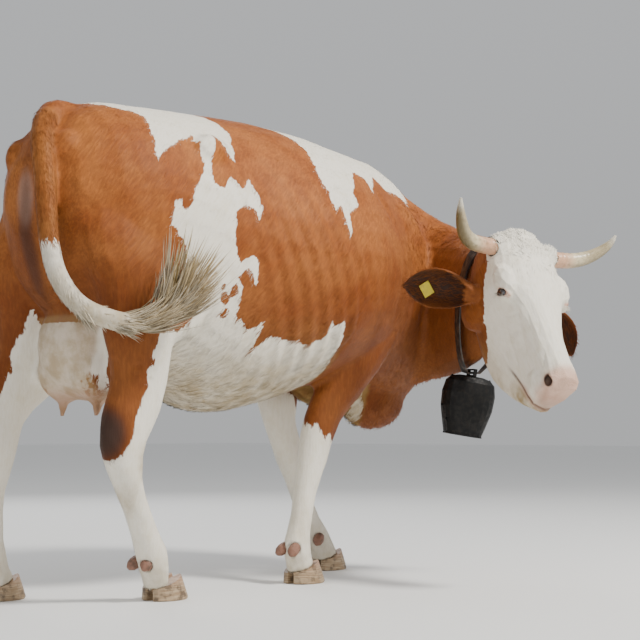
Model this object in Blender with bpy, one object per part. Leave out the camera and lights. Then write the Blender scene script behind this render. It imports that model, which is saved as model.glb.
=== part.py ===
"""A red and white dairy cow at life size, as a still model in a slow stride.

The cow faces +X and its left side is +Y. It turns its head back to its right and carries it low,
its tail is swung round the right thigh, and a sheet-metal bell hangs from a leather collar.
The flesh is lofted from named stations, fused, remeshed and thinned, and then parted by thin
cuts into its nodes. Horns, eyes, claws, tail lengths, collar, bell and tag are their own pieces.
"""

import itertools
import math
import random

import bmesh
import bpy
import numpy as np
from mathutils import Matrix, Vector
from mathutils.bvhtree import BVHTree

# Fit between touching pieces, in metres, like every size below
GAP = 0.0003

# The faces of a box whose corners are listed with X slowest and Z fastest
BOX_FACES = [(0, 1, 3, 2), (4, 6, 7, 5), (0, 4, 5, 1), (2, 3, 7, 6), (0, 2, 6, 4), (1, 5, 7, 3)]

# Fineness of the fused flesh
BODY_VOXEL = 0.010
HEAD_VOXEL = 0.005
BODY_TRIANGLES = 4900
HEAD_TRIANGLES = 1650

# Torso stations from the buttocks to the breast:
# x, top, bottom, half width, height of the widest line, upper power, lower power
TORSO = [
    (-0.835, 1.235, 1.020, 0.095, 1.130, 2.2, 2.0),
    (-0.800, 1.305, 0.900, 0.155, 1.120, 2.2, 2.0),
    (-0.735, 1.380, 0.820, 0.207, 1.110, 2.1, 2.0),
    (-0.640, 1.420, 0.760, 0.260, 1.090, 2.1, 2.0),
    (-0.500, 1.434, 0.680, 0.284, 1.080, 2.1, 2.0),
    (-0.320, 1.447, 0.590, 0.300, 1.040, 2.0, 2.1),
    (-0.180, 1.457, 0.535, 0.325, 0.980, 1.9, 2.2),
    (0.000, 1.461, 0.555, 0.365, 0.960, 1.9, 2.1),
    (0.160, 1.456, 0.595, 0.380, 0.960, 1.9, 2.1),
    (0.320, 1.441, 0.635, 0.362, 0.970, 1.9, 2.1),
    (0.480, 1.428, 0.640, 0.308, 0.980, 1.9, 2.1),
    (0.620, 1.416, 0.600, 0.252, 0.990, 1.8, 2.0),
    (0.740, 1.366, 0.570, 0.212, 1.000, 1.8, 2.0),
    (0.840, 1.280, 0.600, 0.168, 0.980, 1.9, 2.0),
    (0.900, 1.160, 0.680, 0.110, 0.920, 2.0, 2.0),
]
TORSO_RINGS = 34
TORSO_POINTS = 40
RING_POINTS = 28

# Neck stations from inside the shoulders to the poll:
# centre x, y, z, half width, half depth up, half depth down
NECK = [
    (0.540, 0.000, 1.080, 0.190, 0.290, 0.340),
    (0.680, -0.030, 1.070, 0.175, 0.268, 0.440),
    (0.770, -0.110, 1.040, 0.145, 0.218, 0.450),
    (0.800, -0.230, 1.010, 0.125, 0.184, 0.370),
    (0.765, -0.360, 0.985, 0.115, 0.170, 0.310),
    (0.700, -0.480, 0.970, 0.105, 0.150, 0.230),
    (0.620, -0.590, 0.965, 0.098, 0.135, 0.160),
]
NECK_RINGS = 22
NECK_POWERS = (2.0, 1.75)

# The head's own axes: its origin is the poll, the face runs down along FACE,
# LEFT is the cow's left and OUT stands off the forehead
POLL = Vector((0.552, -0.722, 1.090))
FACE = Vector((-0.285, -0.509, -0.813))
OUT_HINT = Vector((-0.204, -0.796, 0.570))

# Head stations down the face: along, top, bottom, half width, height of the widest line, powers
HEAD = [
    (-0.050, -0.035, -0.165, 0.060, -0.090, 2.0, 2.0),
    (-0.012, 0.000, -0.215, 0.102, -0.090, 2.3, 2.0),
    (0.040, 0.014, -0.260, 0.119, -0.090, 2.4, 2.0),
    (0.110, 0.016, -0.300, 0.127, -0.095, 2.5, 2.0),
    (0.190, 0.010, -0.316, 0.124, -0.090, 2.6, 1.9),
    (0.265, -0.002, -0.334, 0.092, -0.085, 2.4, 2.0),
    (0.340, -0.012, -0.326, 0.066, -0.080, 2.2, 2.1),
    (0.410, -0.018, -0.294, 0.056, -0.085, 2.1, 2.2),
    (0.470, -0.018, -0.257, 0.053, -0.090, 2.3, 2.2),
    (0.515, -0.018, -0.220, 0.055, -0.090, 2.5, 2.3),
    (0.548, -0.036, -0.184, 0.046, -0.092, 2.5, 2.4),
    (0.562, -0.062, -0.132, 0.036, -0.092, 2.2, 2.2),
]
HEAD_RINGS = 30

# Leg stations from inside the body to the coronet: x, y, z, half fore and aft, half across
LEG_FRONT_RIGHT = [
    (0.500, -0.190, 1.060, 0.130, 0.060),
    (0.460, -0.205, 0.900, 0.130, 0.080),
    (0.395, -0.190, 0.760, 0.112, 0.072),
    (0.325, -0.168, 0.640, 0.084, 0.062),
    (0.272, -0.150, 0.560, 0.068, 0.058),
    (0.240, -0.143, 0.500, 0.063, 0.055),
    (0.216, -0.141, 0.434, 0.057, 0.051),
    (0.203, -0.140, 0.385, 0.053, 0.050),
    (0.188, -0.140, 0.345, 0.047, 0.045),
    (0.171, -0.140, 0.290, 0.040, 0.040),
    (0.153, -0.140, 0.210, 0.038, 0.038),
    (0.138, -0.140, 0.150, 0.041, 0.040),
    (0.130, -0.140, 0.112, 0.047, 0.045),
    (0.140, -0.140, 0.080, 0.042, 0.044),
    (0.156, -0.140, 0.025, 0.050, 0.050),
]
LEG_FRONT_LEFT = [
    (0.480, 0.190, 1.060, 0.130, 0.060),
    (0.455, 0.205, 0.900, 0.130, 0.080),
    (0.410, 0.192, 0.760, 0.112, 0.072),
    (0.376, 0.172, 0.650, 0.098, 0.062),
    (0.366, 0.162, 0.580, 0.084, 0.058),
    (0.372, 0.154, 0.500, 0.062, 0.053),
    (0.395, 0.148, 0.434, 0.055, 0.050),
    (0.412, 0.144, 0.385, 0.053, 0.050),
    (0.426, 0.140, 0.345, 0.046, 0.045),
    (0.440, 0.133, 0.290, 0.039, 0.040),
    (0.464, 0.122, 0.210, 0.037, 0.038),
    (0.490, 0.112, 0.150, 0.041, 0.040),
    (0.507, 0.106, 0.115, 0.047, 0.045),
    (0.528, 0.103, 0.080, 0.042, 0.044),
    (0.552, 0.100, 0.025, 0.050, 0.050),
]
LEG_HIND_RIGHT = [
    (-0.520, -0.150, 1.150, 0.230, 0.090),
    (-0.530, -0.165, 1.000, 0.250, 0.105),
    (-0.552, -0.182, 0.870, 0.208, 0.100),
    (-0.586, -0.198, 0.760, 0.124, 0.084),
    (-0.585, -0.200, 0.650, 0.096, 0.066),
    (-0.601, -0.196, 0.560, 0.092, 0.058),
    (-0.630, -0.192, 0.490, 0.084, 0.055),
    (-0.638, -0.190, 0.440, 0.074, 0.054),
    (-0.626, -0.187, 0.380, 0.057, 0.048),
    (-0.604, -0.182, 0.320, 0.042, 0.042),
    (-0.567, -0.176, 0.250, 0.040, 0.039),
    (-0.522, -0.169, 0.160, 0.044, 0.042),
    (-0.494, -0.164, 0.112, 0.051, 0.047),
    (-0.476, -0.158, 0.080, 0.047, 0.048),
    (-0.448, -0.150, 0.025, 0.054, 0.052),
]
LEG_HIND_LEFT = [
    (-0.530, 0.150, 1.150, 0.230, 0.090),
    (-0.555, 0.165, 1.000, 0.250, 0.105),
    (-0.580, 0.182, 0.870, 0.235, 0.100),
    (-0.610, 0.196, 0.760, 0.185, 0.084),
    (-0.665, 0.198, 0.660, 0.120, 0.066),
    (-0.725, 0.195, 0.580, 0.086, 0.058),
    (-0.762, 0.192, 0.510, 0.072, 0.055),
    (-0.772, 0.190, 0.450, 0.066, 0.054),
    (-0.778, 0.190, 0.390, 0.053, 0.048),
    (-0.790, 0.191, 0.320, 0.042, 0.042),
    (-0.794, 0.193, 0.240, 0.040, 0.039),
    (-0.793, 0.195, 0.160, 0.044, 0.042),
    (-0.790, 0.196, 0.115, 0.051, 0.047),
    (-0.776, 0.197, 0.080, 0.047, 0.048),
    (-0.752, 0.198, 0.025, 0.054, 0.052),
]

# Masses that stand proud of the lofts: centre, half sizes, turn about Z in degrees
BULGES = {
    "hook_right": ((-0.310, -0.203, 1.285), (0.110, 0.050, 0.065), 20),
    "hook_left": ((-0.310, 0.203, 1.285), (0.110, 0.050, 0.065), -20),
    "pin_right": ((-0.770, -0.104, 1.245), (0.065, 0.040, 0.065), -20),
    "pin_left": ((-0.770, 0.104, 1.245), (0.065, 0.040, 0.065), 20),
    "tail_head": ((-0.700, 0.000, 1.357), (0.100, 0.050, 0.055), 0),
    "stifle_right": ((-0.480, -0.232, 0.835), (0.105, 0.056, 0.110), 10),
    "stifle_left": ((-0.370, 0.235, 0.800), (0.110, 0.060, 0.110), -10),
    "shoulder_right": ((0.560, -0.195, 1.020), (0.150, 0.060, 0.240), -12),
    "shoulder_left": ((0.560, 0.195, 1.020), (0.150, 0.060, 0.240), 12),
    "point_right": ((0.670, -0.155, 0.900), (0.080, 0.060, 0.085), -15),
    "point_left": ((0.680, 0.155, 0.900), (0.080, 0.060, 0.085), 15),
    "brisket": ((0.660, -0.015, 0.590), (0.150, 0.075, 0.110), -6),
    "breast_keel": ((0.450, 0.000, 0.650), (0.190, 0.095, 0.100), 0),
}

# Udder: the bag, its four quarters, and the stations of a teat: share of its lean, height, radius
UDDER_BAG = ((-0.590, 0.000, 0.720), (0.165, 0.140, 0.160))
QUARTERS = [(-0.635, -0.068), (-0.635, 0.066), (-0.510, -0.064), (-0.510, 0.064)]
QUARTER_SIZE = (0.085, 0.070, 0.090)
QUARTER_HEIGHT = 0.650
TEAT_LEAN = 0.15
TEAT = [(0.0, 0.605, 0.0176), (0.3, 0.570, 0.0143), (0.7, 0.532, 0.0130), (1.0, 0.512, 0.0072)]

# Tail: the root runs in the flesh, then come three lengths and the switch
TAIL = [
    (-0.640, 0.000, 1.365, 0.045),
    (-0.720, -0.004, 1.378, 0.040),
    (-0.775, -0.022, 1.355, 0.038),
    (-0.827, -0.063, 1.287, 0.036),
    (-0.850, -0.102, 1.186, 0.034),
    (-0.862, -0.130, 1.075, 0.032),
    (-0.868, -0.152, 0.976, 0.030),
    (-0.860, -0.182, 0.886, 0.030),
    (-0.830, -0.232, 0.812, 0.030),
    (-0.770, -0.290, 0.772, 0.031),
    (-0.700, -0.338, 0.760, 0.032),
    (-0.630, -0.362, 0.780, 0.028),
]

# Head masses in the head's axes: centre, half sizes; those off the middle are mirrored
HEAD_BULGES = [
    ((0.172, 0.104, -0.042), (0.062, 0.034, 0.036)),
    ((0.140, 0.088, -0.185), (0.090, 0.036, 0.105)),
    ((0.045, 0.095, -0.030), (0.040, 0.036, 0.040)),
    ((0.290, 0.052, -0.110), (0.080, 0.022, 0.040)),
    ((0.524, 0.037, -0.070), (0.036, 0.022, 0.034)),
    ((0.500, 0.044, -0.120), (0.050, 0.020, 0.034)),
    ((0.520, 0.000, -0.174), (0.042, 0.042, 0.026)),
    ((0.006, 0.000, -0.030), (0.045, 0.075, 0.042)),
]

# Eyes in the head's axes, with lids that leave an almond opening
EYE_CENTRE = (0.217, 0.108, -0.056)
EYE_RADIUS = 0.0215
LID_RADIUS = 0.0268
EYE_SLANT = (0.65, -0.21, 0.63)
EYE_OUTWARD = (0.10, 1.00, 0.22)
EYE_OPENING = (0.0195, 0.0115, 0.0160)
EYE_OPENING_DEPTH = 0.0040

# Nostrils and the line of the mouth in the head's axes
NOSTRIL_CENTRE = (0.527, 0.045, -0.064)
NOSTRIL_SIZE = (0.029, 0.0125, 0.0150)
NOSTRIL_AIM = (0.80, 0.50, -0.10)
MOUTH_HEIGHT = -0.168
MOUTH_CENTRE = 0.490
MOUTH_REACH = 0.120
MOUTH_DEPTH = 0.0045
MOUTH_ANGLES = (-108, 108)
MOUTH_DROP = 0.15
MOUTH_STEPS = 24
MOUTH_FADE = 0.96
MOUTH_FADE_POWER = 0.3

# Horns: stations from the base pegged in the head to the tip: x, y, z, radius
HORN_RIGHT = [
    (0.445, -0.688, 1.046, 0.0270),
    (0.405, -0.676, 1.050, 0.0265),
    (0.350, -0.668, 1.056, 0.0250),
    (0.305, -0.672, 1.076, 0.0225),
    (0.272, -0.684, 1.110, 0.0180),
    (0.254, -0.693, 1.145, 0.0120),
    (0.248, -0.700, 1.178, 0.0040),
]
HORN_LEFT = [
    (0.640, -0.752, 1.020, 0.0270),
    (0.680, -0.768, 1.021, 0.0265),
    (0.730, -0.790, 1.022, 0.0250),
    (0.775, -0.818, 1.034, 0.0222),
    (0.807, -0.850, 1.056, 0.0175),
    (0.823, -0.876, 1.080, 0.0115),
    (0.828, -0.893, 1.105, 0.0040),
]

# Ears: a stub pegged in the head and an open cup.
# Each ear has its root in the head's axes, and its aim and the way its mouth faces in world axes
EAR_LENGTH = 0.245
EAR_WALL = 0.0045
EAR_STUB = 0.031
EAR_STUB_START = -0.004
EAR_STUB_DEPTH = 0.030
EAR_ROOM = [(0.031, 0.040), (0.060, 0.056), (0.090, 0.070)]
EAR_RINGS = 12
EAR_POINTS = 12
EAR_ARC = 8
EAR_DROOP = 0.012
EAR_RIM_SHARE = (0.45, 1.00)
EAR_LEAST_RADIUS = 0.0015
EAR_STUB_END = (0.020, 0.9)
EAR_RIGHT = ((0.139, -0.106, -0.157), (-0.553, 0.831, 0.140), (-0.700, -0.600, -0.380))
EAR_LEFT = ((0.112, 0.108, -0.158), (0.718, -0.160, -0.722), (-0.560, -0.640, -0.530))
EAR_PROFILE = [
    (0.00, 0.033, 290),
    (0.12, 0.043, 245),
    (0.25, 0.054, 205),
    (0.40, 0.063, 180),
    (0.55, 0.067, 160),
    (0.70, 0.061, 145),
    (0.83, 0.046, 130),
    (0.94, 0.026, 120),
    (1.00, 0.006, 110),
]

# Feet: middle of the coronet, heading in degrees, half gap between the claws
FEET = {
    "front_right": ((0.156, -0.140), -4, 0.072),
    "front_left": ((0.552, 0.100), 2, 0.088),
    "hind_right": ((-0.448, -0.150), 0, 0.094),
    "hind_left": ((-0.752, 0.198), 6, 0.085),
}
CLAW_TOP_WIDTH = 0.0340
CLAW_SOLE_WIDTH = 0.0376
CLAW_MIDDLE = 0.43
CLAW_INSIDE = 0.30
CLAW_TOE_TAPER = 0.35
CLAW_CLEFT = 0.0025
CLAW_POINTS = 14
CLAW_TOE_HEIGHT = 0.072
CLAW_HEEL_HEIGHT = 0.034
CLAW_TOP_REACH = 0.052
CLAW_SOLE_REACH = 0.066
CLAW_LEAN = 0.014
# What lies below a coronet, along, across and under the foot
SOLE_BLOCK = ((-0.200, -0.120, -0.200), (0.200, 0.120, 0.000))
# Share of the way down, share of the spread to the sole, and how far the edge is drawn in
CLAW_LEVELS = [(0.0, 0.00, 0.000), (0.5, 0.54, 0.000), (0.93, 1.00, 0.000), (1.0, 1.00, 0.004)]
# Dewclaws: stations evenly from the root, and both ends ahead of the heel, off the middle and up
DEWCLAW_LENGTH = 0.046
DEWCLAW_POINTS = 10
DEWCLAW_RADII = (0.0140, 0.0175, 0.0185, 0.0160, 0.0065)
DEWCLAW_ROOT = (0.028, 0.0210, 0.120)
DEWCLAW_TIP = (-0.008, 0.0320, 0.092)

# Where the nodes part. A leg's block: its side, its rear edge low and high, its front edge low and
# high, its inner edge low and high, and the height of its top with the slopes along X and outwards
UDDER_BLOCK = ((-0.850, -0.118, 0.450), (-0.430, 0.118, 0.800))
LEG_BLOCKS = {
    "leg_front_right": (-1, (0.000, 0.200), (0.450, 0.600), (0.050, 0.086), (0.660, 0.00, 0.80)),
    "leg_front_left": (1, (0.300, 0.235), (0.800, 0.620), (0.026, 0.086), (0.660, 0.00, 0.80)),
    "leg_hind_right": (-1, (-1.100, -1.100), (-0.470, -0.470), (0.070, 0.119), (0.775, -0.42, 0.35)),
    "leg_hind_left": (1, (-1.100, -1.100), (-0.290, -0.290), (0.090, 0.119), (0.700, -0.42, 0.35)),
}
LEG_BLOCK_OUTSIDE = 0.600
LEG_BLOCK_FLOOR = -0.100
LEG_BLOCK_TOP_GROWTH = 1.4
HEAD_PLANE = ((0.576, -0.663, 1.120), (-0.348, -0.836, -0.426))
HEAD_BLOCK = ((0.000, -0.260, -0.640), (0.900, 0.260, 0.150))
NECK_PLANE = ((0.700, -0.050, 1.000), (0.720, -0.660, -0.200))
NECK_BLOCK = ((0.000, -0.800, -0.560), (1.200, 0.500, 0.600))

# The tail parts at these stations of its table; its root ends in a blunt stump inside the first length
TAIL_CUTS = (2, 5, 8, 10)
TAIL_STUMP_END = (-0.795, -0.034, 1.327, 0.019)
TAIL_STEPS = 3
TAIL_POINTS = 12
SWITCH_LOCKS = 18
SWITCH_SEED = 7
# How the switch's core runs out past its last station: reach, rise and share of the radius
SWITCH_ENDING = ((0.030, 0.012, 0.75), (0.060, 0.048, 0.35))
# Locks of the switch, and how each fans and strays from the common aim and sweep
LOCK_STEPS = 5
LOCK_THICKNESS = 0.0070
LOCK_TIP_HALF_WIDTH = 0.0012
LOCK_TIP_HALF_THICKNESS = 0.0004
LOCK_LENGTH = 0.190
LOCK_GROWTH = 0.100
LOCK_STRAY = 0.030
LOCK_WIDTHS = (0.030, 0.042)
LOCK_ROOT_FAN = Vector((0.007, 0.140, 0.315))
LOCK_AIM = Vector((0.74, -0.26, 0.16))
LOCK_AIM_FAN = Vector((-0.14, 0.00, 0.34))
LOCK_AIM_STRAY = 0.06
LOCK_SWEEP = Vector((-0.20, 0.05, 0.64))
LOCK_SWEEP_FAN = Vector((-0.08, 0.00, 0.00))
LOCK_SWEEP_STRAY = 0.12
LOCK_FLAT = Vector((0.60, -0.55, -0.50))

# Collar, bell and tag
STRAP_TOP = Vector((0.610, -0.600, 1.120))
STRAP_LOW = Vector((0.763, -0.370, 0.655))
STRAP_SIDE = Vector((0.820, -0.570, 0.000))
STRAP_WIDTH = 0.045
STRAP_THICKNESS = 0.0050
STRAP_CLEARANCE = 0.0050
STRAP_STEPS = 32
STRAP_SLACK = 0.0180
BELL_UP = Vector((0.110, -0.125, 1.000)).normalized()
BELL_PLACE = Vector((0.755, -0.368, 0.668))
STAPLE_HALF = 0.0060
STAPLE_ROOM = 0.0060
STAPLE_BAR = 0.0040
BELL_WALL = 0.0030
BELL_POWERS = (2.6, 2.6)
BELL_POINTS = 20
BELL_PROFILE = [
    (0.000, 0.044, 0.026),
    (0.006, 0.068, 0.040),
    (0.022, 0.084, 0.050),
    (0.060, 0.091, 0.057),
    (0.110, 0.088, 0.058),
    (0.155, 0.076, 0.055),
    (0.200, 0.063, 0.050),
]
# The clapper: depth under the crown and radius
CLAPPER = [
    (0.000, 0.0070),
    (0.004, 0.0070),
    (0.008, 0.0040),
    (0.121, 0.0040),
    (0.127, 0.0120),
    (0.147, 0.0165),
    (0.163, 0.0110),
    (0.168, 0.0040),
]
CLAPPER_POINTS = 12

# The tag: its plate, its place on the ear's inner wall, and the turns that lay it along the wall
TAG_SIZE = (0.036, 0.044, 0.0016)
TAG_PLACE = (0.180, 0.017, -0.0470)
TAG_TURNS = ((18.0, "X"), (-29.0, "Y"), (38.0, "Z"))
TAG_FRONT = 0.0105
TAG_BACK = -0.0070
TAG_STEM = 0.0035
TAG_BUTTON = 0.011
TAG_OVERLAP = 0.0005
TAG_POINTS = 12

# Colours of the solids
RED_COAT = (0.42, 0.15, 0.055)
CREAM_HAIR = (0.62, 0.55, 0.38)
HORN_COLOUR = (0.55, 0.46, 0.30)
EYE_COLOUR = (0.02, 0.015, 0.02)
CLAW_COLOUR = (0.35, 0.26, 0.18)
LEATHER_COLOUR = (0.03, 0.025, 0.02)
IRON_COLOUR = (0.05, 0.05, 0.05)
TAG_COLOUR = (0.80, 0.60, 0.05)


def remove_old_objects():
    """Empty the file of whatever it opened with."""
    for old in list(bpy.data.objects):
        bpy.data.objects.remove(old)


def material(name, colour, roughness, metallic=0.0):
    """A Principled material, made once for each name."""
    made = bpy.data.materials.get(name)
    if made:
        return made
    made = bpy.data.materials.new(name)
    made.use_nodes = True
    shader = made.node_tree.nodes["Principled BSDF"]
    shader.inputs["Base Color"].default_value = (*colour, 1.0)
    shader.inputs["Roughness"].default_value = roughness
    shader.inputs["Metallic"].default_value = metallic
    return made


def add_mesh(name, vertices, faces):
    """A new object whose faces all point out."""
    mesh = bpy.data.meshes.new(name)
    mesh.from_pydata([tuple(v) for v in vertices], [], [tuple(f) for f in faces])
    shape = bmesh.new()
    shape.from_mesh(mesh)
    bmesh.ops.recalc_face_normals(shape, faces=shape.faces)
    shape.to_mesh(mesh)
    shape.free()
    made = bpy.data.objects.new(name, mesh)
    bpy.context.scene.collection.objects.link(made)
    return made


def spread_rows(rows, count):
    """Rows of numbers read at even steps along a smooth curve through them."""
    rows = np.array(rows, dtype=float)
    steps = np.linalg.norm(np.diff(rows[:, :3], axis=0), axis=1)
    stops = np.concatenate([[0.0], np.cumsum(steps)])
    slopes = np.gradient(rows, stops, axis=0)
    places = np.linspace(0.0, stops[-1], count)
    spans = np.clip(np.searchsorted(stops, places, side="right") - 1, 0, len(stops) - 2)
    result = []
    for place, span in zip(places, spans):
        width = stops[span + 1] - stops[span]
        t = (place - stops[span]) / width
        start, end = rows[span], rows[span + 1]
        pull_start, pull_end = slopes[span] * width, slopes[span + 1] * width
        result.append(
            start * (2 * t**3 - 3 * t**2 + 1)
            + pull_start * (t**3 - 2 * t**2 + t)
            + end * (3 * t**2 - 2 * t**3)
            + pull_end * (t**3 - t**2)
        )
    return np.array(result)


def oval(centre, across, upward, half_width, rise, drop, powers=(2.0, 2.0), count=RING_POINTS):
    """A closed ring: a superellipse with its own height above and below its widest line."""
    power_up, power_down = powers
    ring = []
    for index in range(count):
        angle = 2.0 * math.pi * index / count
        side, height = math.cos(angle), math.sin(angle)
        power = power_up if height >= 0 else power_down
        reach = rise if height >= 0 else drop
        flat = math.copysign(abs(side) ** (2.0 / power), side) * half_width
        tall = math.copysign(abs(height) ** (2.0 / power), height) * reach
        ring.append(Vector(centre) + Vector(across) * flat + Vector(upward) * tall)
    return ring


def circle(centre, across, upward, radius, count):
    """A closed round ring."""
    return oval(centre, across, upward, radius, radius, radius, count=count)


def loft(name, rings):
    """A closed skin over a run of rings that all have the same number of points."""
    count = len(rings[0])
    vertices = [point for ring in rings for point in ring]
    faces = []
    for row in range(len(rings) - 1):
        for index in range(count):
            after = (index + 1) % count
            low, high = row * count, (row + 1) * count
            faces.append((low + index, low + after, high + after, high + index))
    faces.append(tuple(range(count)))
    last = (len(rings) - 1) * count
    faces.append(tuple(last + index for index in reversed(range(count))))
    return add_mesh(name, vertices, faces)


def directions(points):
    """The unit direction of a path at each of its points."""
    slopes = np.gradient(np.array(points, dtype=float), axis=0)
    return [Vector(slope).normalized() for slope in slopes]


def limb(name, rows, side_axis=(0.0, 1.0, 0.0), per_step=3, count=18):
    """A leg: rings square to the path, with a half size fore and aft and one across."""
    rows = spread_rows(rows, (len(rows) - 1) * per_step + 1)
    rings = []
    for row, along in zip(rows, directions(rows[:, :3])):
        across = Vector(side_axis)
        across = (across - along * across.dot(along)).normalized()
        forward = across.cross(along).normalized()
        rings.append(oval(row[:3], across, forward, row[4], row[3], row[3], count=count))
    return loft(name, rings)


def round_tube(name, rows, per_step=3, count=12, side_axis=(0.0, 1.0, 0.0)):
    """A tube through x, y, z, radius rows, with flat ends."""
    rows = spread_rows(rows, (len(rows) - 1) * per_step + 1)
    return loft(name, tube_rings(rows, count, side_axis))


def tube_rings(rows, count, side_axis):
    """The rings of a tube, turned as little as the path allows."""
    rings = []
    across = Vector(side_axis)
    for row, along in zip(rows, directions(rows[:, :3])):
        across = (across - along * across.dot(along)).normalized()
        upward = along.cross(across)
        rings.append(circle(row[:3], across, upward, row[3], count))
    return rings


def ball(name, centre, half_sizes, turn=None, segments=20, rings=12):
    """An ellipsoid, turned by a rotation matrix if one is given."""
    shape = bmesh.new()
    bmesh.ops.create_uvsphere(shape, u_segments=segments, v_segments=rings, radius=1.0)
    turn = turn.to_4x4() if turn is not None else Matrix.Identity(4)
    scale = Matrix.Diagonal((*half_sizes, 1.0))
    bmesh.ops.transform(shape, matrix=Matrix.Translation(centre) @ turn @ scale, verts=shape.verts)
    mesh = bpy.data.meshes.new(name)
    shape.to_mesh(mesh)
    shape.free()
    made = bpy.data.objects.new(name, mesh)
    bpy.context.scene.collection.objects.link(made)
    return made


def box(name, frame, low, high):
    """A box between two corners in the axes of a 4x4 frame."""
    corners = [frame @ Vector(corner) for corner in itertools.product(*zip(low, high))]
    return add_mesh(name, corners, BOX_FACES)


def axes(origin, x_axis, z_hint):
    """A frame whose X runs along x_axis and whose Z leans to z_hint."""
    x_axis = Vector(x_axis).normalized()
    y_axis = Vector(z_hint).cross(x_axis).normalized()
    z_axis = x_axis.cross(y_axis)
    turn = Matrix((x_axis, y_axis, z_axis)).transposed()
    return Matrix.Translation(origin) @ turn.to_4x4()


def bake_modifiers(made):
    """Replace an object's mesh by its evaluated one and drop its modifiers."""
    graph = bpy.context.evaluated_depsgraph_get()
    mesh = bpy.data.meshes.new_from_object(made.evaluated_get(graph))
    made.modifiers.clear()
    old = made.data
    made.data = mesh
    bpy.data.meshes.remove(old)
    return made


def join(name, objects):
    """One object that holds the meshes of several, which are removed."""
    shape = bmesh.new()
    for each in objects:
        shape.from_mesh(each.data)
        bpy.data.objects.remove(each)
    mesh = bpy.data.meshes.new(name)
    shape.to_mesh(mesh)
    shape.free()
    made = bpy.data.objects.new(name, mesh)
    bpy.context.scene.collection.objects.link(made)
    return made


def duplicate(made, name):
    """A second object with its own mesh."""
    twin = bpy.data.objects.new(name, made.data.copy())
    bpy.context.scene.collection.objects.link(twin)
    return twin


def fuse_by_voxels(made, voxel, rounds):
    """One smooth surface round everything in the mesh."""
    remesh = made.modifiers.new("remesh", "REMESH")
    remesh.mode = "VOXEL"
    remesh.voxel_size = voxel
    smooth = made.modifiers.new("smooth", "SMOOTH")
    smooth.factor = 0.5
    smooth.iterations = rounds
    return bake_modifiers(made)


def thin_out(made, triangles):
    """Fewer triangles, closest together where the form bends most."""
    present = sum(len(face.vertices) - 2 for face in made.data.polygons)
    if present <= triangles:
        return made
    thin = made.modifiers.new("thin", "DECIMATE")
    thin.ratio = triangles / present
    thin.use_collapse_triangulate = True
    return bake_modifiers(made)


def combine(made, other, operation):
    """Apply one Boolean and remove the other object."""
    step = made.modifiers.new("boolean", "BOOLEAN")
    step.operation = operation
    step.object = other
    bake_modifiers(made)
    bpy.data.objects.remove(other)
    return made


def split_faces(made):
    """Triangles all over, so that a Boolean leaves no face with crossing diagonals."""
    shape = bmesh.new()
    shape.from_mesh(made.data)
    bmesh.ops.triangulate(shape, faces=shape.faces)
    shape.to_mesh(made.data)
    shape.free()


def combine_all(made, others, operation, solver="EXACT"):
    """One Boolean against a collection of closed objects, which are then removed."""
    for each in [made] + others:
        split_faces(each)
    group = bpy.data.collections.new("pieces")
    for each in others:
        group.objects.link(each)
    step = made.modifiers.new("boolean", "BOOLEAN")
    step.operation = operation
    step.solver = solver
    step.operand_type = "COLLECTION"
    step.collection = group
    bake_modifiers(made)
    for each in others:
        bpy.data.objects.remove(each)
    bpy.data.collections.remove(group)
    return made


def keep_largest(made):
    """Drop every closed surface but the largest."""
    shape = bmesh.new()
    shape.from_mesh(made.data)
    bmesh.ops.triangulate(shape, faces=shape.faces)
    bmesh.ops.remove_doubles(shape, verts=shape.verts, dist=0.00001)
    unseen = set(shape.verts)
    groups = []
    while unseen:
        start = unseen.pop()
        group, edge_of_group = {start}, [start]
        while edge_of_group:
            vertex = edge_of_group.pop()
            for edge in vertex.link_edges:
                other = edge.other_vert(vertex)
                if other in unseen:
                    unseen.remove(other)
                    group.add(other)
                    edge_of_group.append(other)
        groups.append(group)
    largest = max(groups, key=len)
    loose = [vertex for group in groups if group is not largest for vertex in group]
    bmesh.ops.delete(shape, geom=loose, context="VERTS")
    shape.to_mesh(made.data)
    shape.free()
    return made


def part_off(body, name, frame, low, high):
    """Cut the piece of a body that lies in a box away as a node, with a thin gap between."""
    node = duplicate(body, name)
    combine(node, box("cutter", frame, low, high), "INTERSECT")
    clear_box(body, frame, low, high)
    return keep_largest(node)


def clear_box(body, frame, low, high):
    """Take a box and a thin gap round it out of a body."""
    grown_low = [value - GAP for value in low]
    grown_high = [value + GAP for value in high]
    return combine(body, box("cutter", frame, grown_low, grown_high), "DIFFERENCE")


def leg_block(name, grow):
    """The space of a leg: its sides slant and its top slopes back and outwards."""
    side, rear, front, inner, (height, slope_x, slope_y) = LEG_BLOCKS[name]
    outer, floor = LEG_BLOCK_OUTSIDE + grow, LEG_BLOCK_FLOOR - grow
    corners = []
    for low_x, high_x in ((rear[0] - grow, rear[1] - grow), (front[0] + grow, front[1] + grow)):
        for base_y, top_y in ((inner[0] - grow, inner[1] - grow), (outer, outer)):
            top = height + slope_x * (high_x - front[1]) + slope_y * (top_y - inner[1])
            top += grow * LEG_BLOCK_TOP_GROWTH
            corners.append(Vector((low_x, side * base_y, floor)))
            corners.append(Vector((high_x, side * top_y, top)))
    return add_mesh("leg_block", corners, BOX_FACES)


def part_leg(body, name):
    """Cut a leg away from the body as a node."""
    node = duplicate(body, name)
    combine(node, leg_block(name, 0.0), "INTERSECT")
    combine(body, leg_block(name, GAP), "DIFFERENCE")
    return keep_largest(node)


def torso_shape():
    """The trunk, lofted through its stations."""
    rings = []
    for x, top, bottom, half_width, widest, *powers in spread_torso():
        centre, rise, drop = (x, 0.0, widest), top - widest, widest - bottom
        rings.append(oval(centre, (0, 1, 0), (0, 0, 1), half_width, rise, drop, powers, TORSO_POINTS))
    return loft("torso_shape", rings)


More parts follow.
